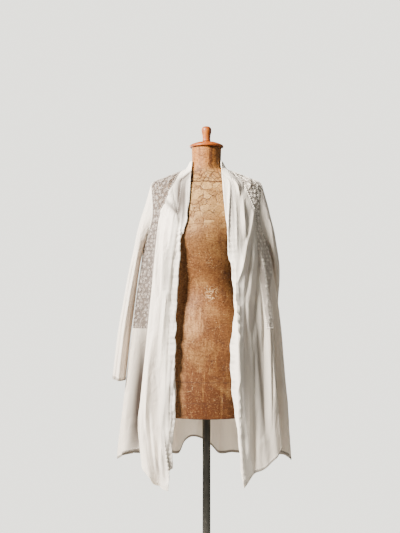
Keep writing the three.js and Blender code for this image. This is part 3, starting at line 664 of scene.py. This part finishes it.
def band_around(side, level):
    wide = front_edges[side](level) + front_edges["band"](level)
    place = np.minimum(np.degrees(np.arcsin(np.minimum(wide / cloth_rings[side](level), 0.985))), 88)
    start = edge_around(side, level)
    return np.maximum(place, start + 6) if side == "right" else np.minimum(360 - place, start - 6)


def lace_around(side, level):
    place = lace_edges[side + "_from"](level)
    return place if side == "right" else 360 - place


def armhole_around(side, level, way):
    """The armhole's edge before (-1) or behind (1) the side seam, and the seam itself below it."""
    share = np.sqrt(np.clip(1 - ((level - ARMHOLE_LEVEL) / ARMHOLE_HIGH) ** 2, 0, 1))
    place = lace_edges[side + "_to"](level) + way * ARMHOLE_WIDE * share
    return place if side == "right" else 360 - place


def armhole_front(side, level):
    return armhole_around(side, level, -1)


def armhole_back(side, level):
    return armhole_around(side, level, 1)


def between(start, end, levels, us, gap=0.15):
    """A grid of places between two seams, half a needle's width from each."""
    level = np.repeat(np.asarray(levels, float)[:, None], len(us), 1)
    first, last = start(level), end(level)
    first, last = first + gap / round_scale(first, level), last - gap / round_scale(last, level)
    return first + (last - first) * np.asarray(us)[None, :], level


def eased(count, width):
    """Steps from 0 to 1 with two close ones at each end, where the cloth's cut edge rounds off."""
    near = 0.6 / width
    return np.concatenate([[0, near], np.linspace(3 * near, 1 - 3 * near, count - 3), [1 - near, 1]])


def rounded(count):
    """The share of a wall's thickness at each step across it, less at its two edges."""
    share = np.ones(count)
    share[[0, -1]], share[[1, -2]] = 0.5, 0.88
    return share


def cloth_sheet(name, centre, normal, thickness, spread, grey=None, closed=False):
    """A thin closed sheet round a grid of middle points. spread is each point's place on the flat
    cloth, in metres, and the painted shade share how far painted shade darkens its colour there; a
    closed sheet is a tube, its last column lying on its first."""
    rows, columns = centre.shape[:2]
    used = columns - 1 if closed else columns
    half = normal * thickness[..., None] / 2
    outside, inside = (centre + half)[:, :used], (centre - half)[:, :used]
    points = np.concatenate([outside.reshape(-1, 3), inside.reshape(-1, 3)])
    other = rows * used
    faces, places = [], []

    def add(corners):
        """corners are (row, column, layer) arrays, anticlockwise from outside."""
        numbers = [r * used + c % used + layer * other for r, c, layer in corners]
        faces.append(np.stack(numbers, -1).reshape(-1, 4))
        places.append(np.stack([spread[r, c] for r, c, _ in corners], -2).reshape(-1, 4, 2))

    r, c = np.meshgrid(np.arange(rows - 1), np.arange(columns - 1), indexing="ij")
    add([(r, c, 0), (r + 1, c, 0), (r + 1, c + 1, 0), (r, c + 1, 0)])
    add([(r, c, 1), (r, c + 1, 1), (r + 1, c + 1, 1), (r + 1, c, 1)])
    c, low, high = np.arange(columns - 1), np.zeros(columns - 1, int), np.full(columns - 1, rows - 1)
    add([(low, c, 0), (low, c + 1, 0), (low, c + 1, 1), (low, c, 1)])
    add([(high, c, 0), (high, c, 1), (high, c + 1, 1), (high, c + 1, 0)])
    if not closed:
        r, near, far = np.arange(rows - 1), np.zeros(rows - 1, int), np.full(rows - 1, columns - 1)
        add([(r, near, 0), (r, near, 1), (r + 1, near, 1), (r + 1, near, 0)])
        add([(r, far, 0), (r + 1, far, 0), (r + 1, far, 1), (r, far, 1)])
    made = new_piece(name, points, np.concatenate(faces), np.concatenate(places), 0.9)
    if grey is not None:
        # Painted shade, kept on each point for the cloth's material.
        tone = made.data.attributes.new("grey", "FLOAT", "POINT")
        tone.data.foreach_set("value", np.tile(grey[:, :used].reshape(-1), 2).astype(np.float32))
    return made


def new_group(name, inputs, outputs):
    """A node group with float inputs (name: default) and outputs (name: socket type)."""
    group = bpy.data.node_groups.new(name, "ShaderNodeTree")
    for label, value in inputs.items():
        made = group.interface.new_socket(label, in_out="INPUT", socket_type="NodeSocketFloat")
        made.default_value = value
    for label, kind in outputs.items():
        group.interface.new_socket(label, in_out="OUTPUT", socket_type="NodeSocket" + kind)
    return group, group.nodes.new("NodeGroupInput").outputs, group.nodes.new("NodeGroupOutput").inputs


def use(tree, group, inputs=None):
    made = tree.nodes.new("ShaderNodeGroup")
    made.node_tree = group
    for name, value in (inputs or {}).items():
        made.inputs[name].default_value = value
    return made.outputs


def spread_axes(tree):
    """The two axes of the flat cloth, in metres."""
    at = node(tree, "UVMap", {"uv_map": "spread"})
    axes = node(tree, "SeparateXYZ", None, {0: at})
    return axes.outputs[0], axes.outputs[1]


def noise(tree, x, y, x_scale, y_scale, detail=2.0, distortion=0.0, z=0.0):
    """Noise over the flat cloth, with its own number of grains a metre along each axis."""
    at = node(tree, "CombineXYZ", None, {0: times(tree, x, x_scale), 1: times(tree, y, y_scale), 2: z})
    return grain(tree, at, 1.0, detail, 0.5, distortion)


# Plain weave: threads over and under, thick and thin places in them.
weave, given, result = new_group("plain_weave", {"Pitch": 0.0008}, {"Height": "Float", "Slub": "Float"})
tree = weave
x, y = spread_axes(tree)
turns = calc(tree, "DIVIDE", 6.2832, given["Pitch"])
crossings = times(tree, calc(tree, "SINE", times(tree, x, turns)), calc(tree, "SINE", times(tree, y, turns)))
slub = plus(tree, noise(tree, x, y, 900, 22), noise(tree, x, y, 22, 900, z=7))
tree.links.new(times(tree, crossings, 0.00005), result["Height"])
tree.links.new(times(tree, slub, 0.5), result["Slub"])

# Rumples: shallow upright wrinkles and a few slanting ones, as thin cotton keeps after washing.
rumple, given, result = new_group("rumples", {"Depth": 0.001}, {"Height": "Float"})
tree = rumple
x, y = spread_axes(tree)
upright = noise(tree, x, y, 62, 9, 3, 0.5)
slanting = noise(tree, plus(tree, x, times(tree, y, 0.5)), y, 30, 16, 3, 0.8, 3)
rumpled = calc(tree, "SUBTRACT", upright, times(tree, apart(tree, slanting, 0.5), 0.6))
tree.links.new(times(tree, rumpled, given["Depth"]), result["Height"])


def voile(name, colour, rumples, glow, hem=(1.0, 1.0, 1.0)):
    """Thin cotton that lets a share of the light through: glow. hem tints the doubled lower edge,
    and where shade is painted into the cloth its colour goes down to a small share of itself."""
    material, tree = empty_material(name)
    threads = use(tree, weave)
    wrinkles = use(tree, rumple, {"Depth": rumples})
    low = [part * share for part, share in zip(colour, hem)]
    painted_shade_colour = [part * share for part, share in zip(colour, (0.08, 0.065, 0.06))]
    doubled = ramp(tree, spread_axes(tree)[1], 0.0075, 0.0095, 1.0, 0.0)
    base = over(tree, (*colour, 1), (*[part * 0.93 for part in colour], 1), threads["Slub"])
    base = over(tree, base, (*low, 1), doubled)
    # Painted shade: a per-point attribute takes the colour down where shade is painted into the cloth.
    grey = node(tree, "Attribute", {"attribute_name": "grey"}).outputs["Fac"]
    base = over(tree, base, (*painted_shade_colour, 1), grey)
    bump = raised(tree, plus(tree, threads["Height"], wrinkles["Height"]))
    skin = node(tree, "BsdfPrincipled", None, {
        "Base Color": base, "Roughness": 0.88, "Sheen Weight": 0.25, "Specular IOR Level": 0.25,
        "Normal": bump})
    through = node(tree, "BsdfTranslucent", None, {"Color": base, "Normal": bump})
    both = node(tree, "MixShader", None, {0: glow, 1: skin, 2: through})
    node(tree, "OutputMaterial", None, {"Surface": both})
    return material


body_voile = voile("body_voile", (0.86, 0.795, 0.715), 0.006, 0.42, (0.36, 0.35, 0.34))
hem_rows = [570, 570.6, 572, 575, 578.2, 579.4, 581]


def hemmed(levels):
    """The wall's thickness at each level: doubled over the turned-up hem, rounded at its edge."""
    levels = np.asarray(levels, float)
    rows, walls = [570, 570.6, 572, 578.2, 579.4, 1500], [1.1, 1.8, 2.1, 2.1, 1.0, 1.0]
    return np.interp(levels, rows, walls)[:, None]


def panel(name, start, end, levels, columns, wall):
    """A body panel between two seams."""
    us = eased(columns, 200)
    around, level = between(start, end, levels, us)
    return cloth_sheet(name, hang(around, level), facing(around, level), wall * rounded(len(us))[None, :],
                       flat_place(around, level), painted_shade_share(around, level))


levels = np.concatenate([hem_rows, np.linspace(586, 1474, 150), [1477, 1477.7]])
back_panel = panel("back_cloth", partial(armhole_back, "right"), partial(armhole_back, "left"),
                   levels, 190, hemmed(levels))
back_panel.data.materials.append(body_voile)
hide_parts("back_panel")

# ---- Front panels ----
# A long panel of the same cotton each side, hung from the collar seam between the doubled band and
# the lace, its lower corner falling to a point. The wearer's right panel, which faces the light, is a lit
# copy: its colour and its hem are painted lighter than the wearer's left, as painted light.
# Painted light: the wearer's right front and its hem are lighter than the left only to stand in for the light
# on them.
front_hem_tint_and_painted_light = {"right": (0.90, 0.89, 0.87), "left": (0.42, 0.41, 0.40)}
front_white_and_painted_light = {"right": (0.95, 0.89, 0.82), "left": (0.86, 0.805, 0.73)}
front_rumples = {"right": 0.006, "left": 0.0035}
front_voile = {
    side: voile(side + "_front_voile", front_white_and_painted_light[side], front_rumples[side], 0.36, front_hem_tint_and_painted_light[side])
    for side in front_hem_tint_and_painted_light}


def seams_of(side, near, far):
    """A panel's two long seams, the one nearer the front first on the right, last on the left."""
    seams = [partial(near, side), partial(far, side)]
    return seams if side == "right" else seams[::-1]


levels = np.concatenate([hem_rows, np.linspace(586, 1474, 190), [1477, 1477.7]])
for side in ("right", "left"):
    seams = seams_of(side, band_around, lace_around)
    made = panel(side + "_front_cloth", *seams, levels, 60, hemmed(levels))
    made.data.materials.append(front_voile[side])
    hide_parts(side + "_front_panel")

# ---- Side panels ----
# Plain cotton again, sewn under the lace strip's squared end and carrying it on to the hem.
levels = np.concatenate([hem_rows, np.linspace(586, 985, 90), [987.2, 987.8]])
for side in ("right", "left"):
    seams = seams_of(side, lace_around, armhole_front)
    made = panel(side + "_side_cloth", *seams, levels, 44, hemmed(levels))
    made.data.materials.append(body_voile)
    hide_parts(side + "_side_panel")

# ---- Lace yokes ----
# A cotton net, worked all over with raised flowers and leaves in soft thread, covers each shoulder
# and runs down the side front. A scalloped edging is sewn along its two long sides.
lace_net, given, result = new_group(
    "lace_net", {"Pitch": 0.003, "Thread": 0.16}, {"Cover": "Float", "Height": "Float"})
tree = lace_net
x, y = spread_axes(tree)
wobble = times(tree, calc(tree, "SUBTRACT", noise(tree, x, y, 90, 90), 0.5), 0.0022)
near = []
for sign in (1, -1):
    slant = plus(tree, times(tree, x, 0.8), times(tree, y, 0.6 * sign))
    slant = calc(tree, "DIVIDE", plus(tree, slant, wobble), given["Pitch"])
    off = apart(tree, calc(tree, "FRACT", slant), 0.5)
    near.append(ramp(tree, off, given["Thread"], times(tree, given["Thread"], 0.55)))
filled = ramp(tree, noise(tree, x, y, 95, 70, 3), 0.60, 0.63)
cover = calc(tree, "MAXIMUM", calc(tree, "MAXIMUM", *near), filled)
tree.links.new(cover, result["Cover"])
tree.links.new(times(tree, cover, 0.0004), result["Height"])

# Lit and shaded copies of one lace: on the wearer's right, which faces the light, it is painted darker as
# shade, and on the wearer's left, in shade, it is painted paler as light.
net_cotton_painted_light_and_shade, work_cotton_painted_light_and_shade = {}, {}
for side, net_painted_tone, work_painted_tone in (
        ("right", (0.14, 0.115, 0.105), (0.27, 0.235, 0.21)),
        ("left", (0.53, 0.48, 0.43), (0.82, 0.76, 0.68))):
    net_cotton_painted_light_and_shade[side], tree = empty_material(side + "_net_cotton_painted_light_and_shade")
    net = use(tree, lace_net, {"Pitch": 0.0030, "Thread": 0.17})
    skin = node(tree, "BsdfPrincipled", None, {
        "Base Color": (*net_painted_tone, 1), "Roughness": 0.9, "Alpha": net["Cover"],
        "Normal": raised(tree, net["Height"])})
    node(tree, "OutputMaterial", None, {"Surface": skin})

    work_cotton_painted_light_and_shade[side], tree = empty_material(side + "_embroidery_cotton")
    satin = times(tree, calc(tree, "SINE", times(tree, spread_axes(tree)[0], 9000.0)), 0.00008)
    skin = node(tree, "BsdfPrincipled", None, {
        "Base Color": (*work_painted_tone, 1), "Roughness": 0.62, "Sheen Weight": 0.3, "Normal": raised(tree, satin)})
    node(tree, "OutputMaterial", None, {"Surface": skin})


def pads(places, turn, half_long, half_wide, rise, sides=8):
    """Raised oval pads of thread lying on the body cloth, each of three rings and a top. places are
    (around, level) rows, turn is each pad's tilt from upright, in degrees."""
    places = np.asarray(places, float)
    turn = np.radians(turn)[:, None]
    spokes = np.linspace(0, 2 * np.pi, sides + 1)[:-1]
    share = np.array([1.0, 0.86, 0.45])[:, None]
    lengthwise = np.append(share * np.cos(spokes) * half_long, 0)
    crosswise = np.append(share * np.sin(spokes) * half_wide, 0)
    height = 0.45 + rise * np.repeat([0, 0.55, 0.95, 1], [sides, sides, sides, 1])
    right = lengthwise * np.sin(turn) + crosswise * np.cos(turn)
    up = lengthwise * np.cos(turn) - crosswise * np.sin(turn)
    around = places[:, :1] + right / round_scale(places[:, 0], places[:, 1])[:, None]
    level = np.clip(places[:, 1:] + up, HEM + 1, COLLAR_TOP - 1)
    points = (hang(around, level) + facing(around, level) * height[None, :, None]).reshape(-1, 3)
    i = np.arange(sides)
    n, top = (i + 1) % sides, np.full(sides, 3 * sides)
    walls = [np.stack([i + ring, n + ring, n + ring + sides, i + ring + sides], -1) for ring in (0, sides)]
    step = len(lengthwise) * np.arange(len(places))[:, None, None]
    quads = (np.concatenate(walls)[None] + step).reshape(-1, 4).tolist()
    fans = (np.stack([i + 2 * sides, n + 2 * sides, top], -1)[None] + step).reshape(-1, 3).tolist()
    flat = np.tile(np.stack([lengthwise, crosswise], -1) * 0.001, (len(places), 1))
    faces = quads + fans
    return points, faces, flat[np.concatenate([np.ravel(f) for f in faces])]


def pad_piece(name, parts, material):
    """One object from several sets of pads."""
    points, faces, places, start = [], [], [], 0
    for p, f, s in parts:
        faces += [[v + start for v in face] for face in f]
        points.append(p)
        places.append(s)
        start += len(p)
    mesh = bpy.data.meshes.new(name)
    mesh.from_pydata((np.concatenate(points) * 0.001).tolist(), [], faces)
    layer = mesh.uv_layers.new(name="spread")
    layer.data.foreach_set("uv", np.concatenate(places).astype(np.float32).reshape(-1))
    mesh.shade_smooth()
    mesh.materials.append(material)
    made = bpy.data.objects.new(name, mesh)
    bpy.context.scene.collection.objects.link(made)
    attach(made, "root")
    return made


# The motifs stand in rows, so far apart up the lace, along a row and from a seam, each a bit astray.
ROW_STEP, MOTIF_STEP, SEAM_ROOM, ASTRAY = 11.5, 15.5, 7.5, 3.5
levels = np.concatenate([[988.2, 988.8], np.linspace(991, 1474, 120), [1477, 1477.7]])
chance = np.random.default_rng(11)
for side in ("right", "left"):
    first, last = seams_of(side, lace_around, armhole_front)
    ends = rounded(len(levels))[:, None]
    made = panel(side + "_lace_net", first, last, levels, 44, 0.9 * ends)
    made.data.materials.append(net_cotton_painted_light_and_shade[side])
    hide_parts(side + "_lace_yoke")

    flowers, leaves = [], []
    for k, level in enumerate(np.arange(1001, 1472, ROW_STEP)):
        a, b = first(level), last(level)
        scale = float(round_scale((a + b) / 2, level))
        room = (b - a) * scale - 2 * SEAM_ROOM
        if room < 0:
            continue
        count = max(1, int(round(room / MOTIF_STEP)) + (k + 1) % 2)
        for share in (np.arange(count) + 0.5) / count:
            place = a + (SEAM_ROOM + share * room + chance.uniform(-ASTRAY, ASTRAY)) / scale
            spot = (place, level + chance.uniform(-ASTRAY, ASTRAY), scale, chance.uniform(0, 60))
            (flowers if (k + int(share * count)) % 2 == 0 else leaves).append(spot)
    parts = []
    for petal in range(6):
        tilt = np.array([f[3] for f in flowers]) + petal * 60
        reach = 2.9
        centres = [(f[0] + reach * math.sin(math.radians(t)) / f[2], f[1] + reach * math.cos(math.radians(t)))
                   for f, t in zip(flowers, tilt)]
        parts.append(pads(centres, tilt, 2.4, 1.25, 0.8))
    parts.append(pads([f[:2] for f in flowers], np.zeros(len(flowers)), 1.0, 1.0, 1.3, 7))
    for lean, shift in ((38, 2.9), (-42, -2.9), (4, 0.0)):
        tilt = np.array([f[3] - 30 for f in leaves]) + lean
        centres = [(f[0] + shift / f[2], f[1] + (3.8 if shift == 0 else -1.0)) for f in leaves]
        parts.append(pads(centres, tilt, 3.9, 1.1, 0.7))
    pad_piece(side + "_lace_flowers", parts, work_cotton_painted_light_and_shade[side])

    edging = []
    scallop = (2.7, 2.3, 1.3)
    for seam, way in ((first, 1), (last, -1)):
        rows = np.arange(992, 1468, 6.2)
        a = seam(rows)
        places = np.stack([a + way * 2.6 / round_scale(a, rows), rows], -1)
        edging.append(pads(places, np.zeros(len(rows)), *scallop))
    end_level, count = 991.5, 18
    a, b = first(end_level), last(end_level)
    places = np.stack([a + (b - a) * (np.arange(count) + 0.5) / count, np.full(count, end_level)], -1)
    edging.append(pads(places, np.full(count, 90.0), *scallop))
    pad_piece(side + "_lace_edging", edging, work_cotton_painted_light_and_shade[side])

# ---- Front bands and collar ----
# A strip of doubled cotton along each front edge, carried on round the back of the neck. Its free
# edge has shrunk a little less than its stitching, so it puckers.
band_cotton = voile("band_cotton", (0.91, 0.86, 0.79), 0.0025, 0.22, (0.86, 0.85, 0.83))


def pucker(side, share, level):
    """How far a band's free edge waves off its straight run, in millimetres."""
    way = 1 if side == "right" else -1
    swell = 2.6 * np.clip((1330 - level) / 200, 0, 1) * share**2
    wave = swell * np.sin(2 * np.pi * level / 66)
    small = 0.8 * np.clip((1380 - level) / 150, 0, 1) * share**2
    ripple = small * np.sin(2 * np.pi * level / 17 + 1.6 * np.sin(level / 41))
    return np.stack([way * 0.4 * wave + way * 0.3 * ripple, wave + ripple, 0 * wave], -1)


curl = curve(table(
    "z depth",
    (570, 5), (700, 13), (950, 18), (1100, 18), (1200, 12), (1260, 6), (1300, 4), (1400, 1.5), (1480, 0),
), "z", "depth")


def band_points(side, around, level, free):
    """A band's middle surface: its free edge curls in towards the form and puckers."""
    inward = -facing(around, level) * (curl(level) * free**1.4)[..., None]
    return hang(around, level) + inward + pucker(side, free, level)


def band_grid(side, levels, us):
    """Places across a band, and how near each lies to its free edge."""
    around, level = between(*seams_of(side, edge_around, band_around), levels, us)
    free = 1 - us if side == "right" else us
    return around, level, np.broadcast_to(free[None, :], around.shape)


levels = np.concatenate([hem_rows, np.linspace(584, 1496, 380), [1499.2, 1499.8]])
us = eased(19, 36)
for side in ("right", "left"):
    around, level, free = band_grid(side, levels, us)
    wall = 1.7 * rounded(len(levels))[:, None] * rounded(len(us))[None, :]
    wall = wall * np.interp(free, [0, 0.86, 0.92, 1], [1, 1, 1.9, 1.9])
    made = cloth_sheet(side + "_band_cloth", band_points(side, around, level, free), facing(around, level),
                       wall, flat_place(around, level), painted_shade_share(around, level))
    made.data.materials.append(band_cotton)
    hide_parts(side + "_front_band")

levels = np.concatenate([[1478.2, 1478.8], np.linspace(1480, 1498, 10), [1499.2, 1499.8]])
us = eased(90, 200)
around, level = between(partial(band_around, "right"), partial(band_around, "left"), levels, us)
wall = 1.9 * rounded(len(levels))[:, None] * rounded(len(us))[None, :]
collar = cloth_sheet("collar_cloth", hang(around, level), facing(around, level), wall,
                     flat_place(around, level))
collar.data.materials.append(band_cotton)
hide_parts("collar")

# ---- Sleeves ----
# One long tube of cotton each, hanging empty and nearly flat from a low armhole, with lengthwise
# creases and a narrow turned hem at the cuff. Each ring is told by its k, counted down the sleeve.
sleeve_voile = voile("sleeve_voile", (0.90, 0.84, 0.77), 0.006, 0.42, (0.50, 0.49, 0.48))
sleeve_rings = {
    "right": table(
        "k z around standoff thick width slant",
        (1, 1276, 90, 9.5, 4, 48, 86), (2, 1229, 90, 16, 9, 53, 87), (3, 1163, 91, 18.5, 10.5, 57, 80),
        (4, 1100, 92, 21.5, 12.5, 59, 73), (5, 1020, 92, 25, 15, 60, 58), (6, 925, 92, 27.5, 18.5, 59, 37),
        (7, 829, 92, 28, 19, 56, 4),
    ),
    "left": table(
        "k z around standoff thick width slant",
        (1, 1280, 266, 9, 3.5, 48, 86), (2, 1224, 254, 13, 7, 52, 84), (3, 1160, 242, 16, 9, 56, 76),
        (4, 1095, 233, 19, 12, 59, 70), (5, 1015, 228, 23, 15, 60, 56), (6, 920, 225, 26, 17, 60, 35),
        (7, 826, 222, 28, 18, 57, 4),
    ),
}
# Lines down a sleeve: from one turn and ring to another, half width in degrees, depth (in is less).
sleeve_creases = table(
    "from_turn from_k to_turn to_k width out",
    (20, 0.8, 34, 3.6, 12, -2.4), (352, 1.0, 340, 4.5, 12, -2.0), (8, 2.5, 4, 6.6, 10, 1.4),
    (48, 2.0, 56, 6.8, 12, -2.6), (318, 2.2, 322, 6.9, 11, -2.2), (25, 4.0, 18, 6.9, 9, -1.8),
    (60, 0.6, 66, 2.4, 12, -2.0), (300, 0.7, 290, 2.6, 12, -2.0), (338, 4.6, 350, 6.9, 9, 1.2),
    (110, 2.0, 118, 6.6, 14, -1.6), (250, 2.5, 244, 6.6, 14, -1.6), (170, 1.2, 170, 8.4, 62, 3.4),
)


def armhole_points(side, turn, larger, lift):
    """Points round an armhole made a little larger, lifted off the cloth. turn is from its top."""
    way = 1 if side == "right" else -1
    level = ARMHOLE_LEVEL + (ARMHOLE_HIGH + larger) * np.cos(turn)
    place = (90 if way > 0 else 270) - way * (ARMHOLE_WIDE + larger * 0.4) * np.sin(turn)
    return hang(place, level) + facing(place, level) * lift


def sleeve_points(side, turn, k):
    """Points of a sleeve's middle surface. turn is degrees round it from its outer side."""
    way = 1 if side == "right" else -1
    ring = curves("k", sleeve_rings[side])
    t = np.radians(turn)
    low = np.maximum(k, 1.0)
    z = ring["z"](low) + ring["slant"](low) * np.cos(t)
    a = np.radians(ring["around"](low))
    across = cloth_rings[side](z)
    deep = np.where(np.cos(a) > 0, cloth_rings["front"](z), cloth_rings["back"](z))
    outward = np.stack([-np.sin(a) / across, -np.cos(a) / deep, 0 * z], -1)
    outward /= np.linalg.norm(outward, axis=-1, keepdims=True)
    forward = np.stack([-way * outward[..., 1], way * outward[..., 0], 0 * z], -1)
    fill, ruck = 1 + 0 * z, 0 * z
    for at, width, depth in ((78, 34, 0.2), (205, 36, 0.16), (290, 34, 0.18)):
        x = np.clip((turn % 360 - at) / width, -1, 1)
        fill = fill - depth * (1 + np.cos(np.pi * x)) / 2 * np.clip((low - 1) / 2, 0, 1)
    for c in sleeve_creases:
        share = np.clip((k - c["from_k"]) / (c["to_k"] - c["from_k"]), 0, 1)
        middle = c["from_turn"] + (c["to_turn"] - c["from_turn"]) * share
        off = np.abs((turn - middle + 180) % 360 - 180) / c["width"]
        ruck = ruck + c["out"] * np.sin(np.pi * share) ** 0.6 * np.clip(1 - off, 0, 1) ** 1.5
    ruck = ruck + 0.5 * np.clip(k - 1, 0, 1) * np.sin(np.radians(turn) * 9 + 1.7 * k) * np.cos(t).clip(0, 1)
    point = np.stack([-across * np.sin(a), -deep * np.cos(a), z], -1)
    point = point + outward * (ring["standoff"](low) + ring["thick"](low) * np.cos(t) * fill)[..., None]
    point = point + forward * (ring["width"](low) * np.sin(t) * fill)[..., None]
    swing = np.stack([np.cos(t), np.sin(t)], -1)
    point = point + (outward * swing[..., :1] + forward * swing[..., 1:]) * ruck[..., None]
    share = np.clip(k, 0, 1)[..., None]
    share = share + (1 - share) * share * 0.25
    return armhole_points(side, t, 0, 2.0) * (1 - share) + point * share


MM_PER_TURN_DEGREE, MM_PER_RING = 0.7, 90
ks = np.concatenate([[7, 6.994, 6.98, 6.95, 6.917, 6.905], np.linspace(6.87, 0.05, 130), [0.02, 0]])
for side in ("right", "left"):
    turns = np.linspace(360, 0, 121) if side == "right" else np.linspace(0, 360, 121)
    turn, k = np.meshgrid(turns, ks)
    centre = sleeve_points(side, turn, k)
    round_step = np.gradient(np.concatenate([centre[:, -2:-1], centre, centre[:, 1:2]], 1), axis=1)[:, 1:-1]
    normal = np.cross(np.gradient(centre, axis=0), round_step)
    normal /= np.linalg.norm(normal, axis=-1, keepdims=True)
    wall = np.interp(-k, [-7, -6.994, -6.98, -6.917, -6.905, 0], [1.1, 1.7, 2.0, 2.0, 1.0, 1.0])
    spread = np.stack([turn * MM_PER_TURN_DEGREE, (7 - k) * MM_PER_RING], -1) * 0.001
    made = cloth_sheet(side + "_sleeve_cloth", centre, normal, wall, spread, closed=True)
    made.data.materials.append(sleeve_voile)
    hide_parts(side + "_sleeve")

# ---- Stitching ----
# White cotton thread: along the hems and cuffs, both sides of the bands, and round the armholes,
# where the seam's turnings make a low ridge.
thread, tree = empty_material("thread")
skin = node(tree, "BsdfPrincipled", None, {"Base Color": (0.80, 0.77, 0.72, 1), "Roughness": 0.7})
node(tree, "OutputMaterial", None, {"Surface": skin})


def running_stitch(name, rows, length=3.6, pitch=6.5, radius=0.38):
    """Raised stitches laid along rows of (points, normals), each row a line on the cloth. Every
    stitch is four rings of five points, small at its two ends."""
    points, faces = [], []
    sides = 5
    spokes = np.linspace(0, 2 * np.pi, sides + 1)[:-1]

    def read(values, gone, at):
        return np.stack([np.interp(at, gone, values[:, i]) for i in range(3)], -1)

    for line, out in rows:
        steps = np.linalg.norm(np.diff(line, axis=0), axis=-1)
        gone = np.concatenate([[0], np.cumsum(steps)])
        marks = np.arange(pitch / 2, gone[-1] - pitch / 2, pitch)
        here, there = read(line, gone, marks - length / 2), read(line, gone, marks + length / 2)
        up = read(out, gone, marks)
        ahead = there - here
        ahead /= np.linalg.norm(ahead, axis=-1, keepdims=True)
        for middle, a, u, b in zip((here + there) / 2, ahead, up, np.cross(ahead, up)):
            start = len(points)
            for share, thick in ((-0.5, 0.3), (-0.32, 1), (0.32, 1), (0.5, 0.3)):
                core = middle + a * share * length
                for s in spokes:
                    points.append(core + radius * thick * (math.cos(s) * b + 0.8 * math.sin(s) * u))
            for first in range(start, start + 3 * sides, sides):
                for i in range(sides):
                    n = (i + 1) % sides
                    faces.append([first + i, first + n, first + sides + n, first + sides + i])
    made = new_piece(name, np.array(points), np.array(faces))
    made.data.materials.append(thread)
    return made


def level_line(start, end, level, count, lift):
    """A line round the body cloth at one level, and the way the cloth faces along it."""
    around, level = np.linspace(start, end, count), np.full(count, level)
    normal = facing(around, level)
    return hang(around, level) + normal * lift, normal


HEM_ROW, COLLAR_ROW, CUFF_ROW = 577.0, 1482.0, 6.925
hems = [level_line(59, 301, HEM_ROW, 700, 1.15)]
for side in ("right", "left"):
    hems.append(level_line(band_around(side, HEM_ROW), lace_around(side, HEM_ROW), HEM_ROW, 160, 1.15))
running_stitch("hem_stitching", hems)
for side in ("right", "left"):
    rows = []
    for across in (0.13, 0.87):
        around, level, free = band_grid(side, np.linspace(574, 1470, 700), np.array([across]))
        normal = facing(around, level)
        rows.append(((band_points(side, around, level, free) + normal * 1.1)[:, 0], normal[:, 0]))
    running_stitch(side + "_band_stitching", rows)
    turn = np.linspace(0, 360, 200)
    ring = sleeve_points(side, turn, np.full(len(turn), CUFF_ROW))
    out = ring - ring.mean(axis=0)
    out /= np.linalg.norm(out, axis=-1, keepdims=True)
    running_stitch(side + "_cuff_stitching", [(ring + out * 1.1, out)])
ends = band_around("right", COLLAR_ROW), band_around("left", COLLAR_ROW)
running_stitch("collar_stitching", [level_line(*ends, COLLAR_ROW, 200, 1.1)])


def cord_round(name, line, radius, sides=8):
    """A round cord along a closed line of points."""
    ahead = np.roll(line, -1, 0) - np.roll(line, 1, 0)
    ahead /= np.linalg.norm(ahead, axis=-1, keepdims=True)
    side_way = np.cross(ahead, np.array([0, 0, 1.0]) + 1e-6)
    side_way /= np.linalg.norm(side_way, axis=-1, keepdims=True)
    other_way = np.cross(side_way, ahead)
    spokes = np.linspace(0, 2 * np.pi, sides + 1)[:-1]
    points = line[:, None] + radius * (np.cos(spokes)[None, :, None] * side_way[:, None]
                                       + np.sin(spokes)[None, :, None] * other_way[:, None])
    count = len(line)
    r, c = np.meshgrid(np.arange(count), np.arange(sides), indexing="ij")
    n, m = (c + 1) % sides, (r + 1) % count
    faces = np.stack([r * sides + c, r * sides + n, m * sides + n, m * sides + c], -1).reshape(-1, 4)
    return new_piece(name, points.reshape(-1, 3), faces)


seam_cotton, tree = empty_material("seam_cotton")
skin = node(tree, "BsdfPrincipled", None, {"Base Color": (0.76, 0.73, 0.68, 1), "Roughness": 0.85})
node(tree, "OutputMaterial", None, {"Surface": skin})
for side in ("right", "left"):
    turn = np.radians(np.linspace(0, 360, 141)[:-1])
    made = cord_round(side + "_armhole_seam", armhole_points(side, turn, 0.5, 1.25), 1.0)
    made.data.materials.append(seam_cotton)
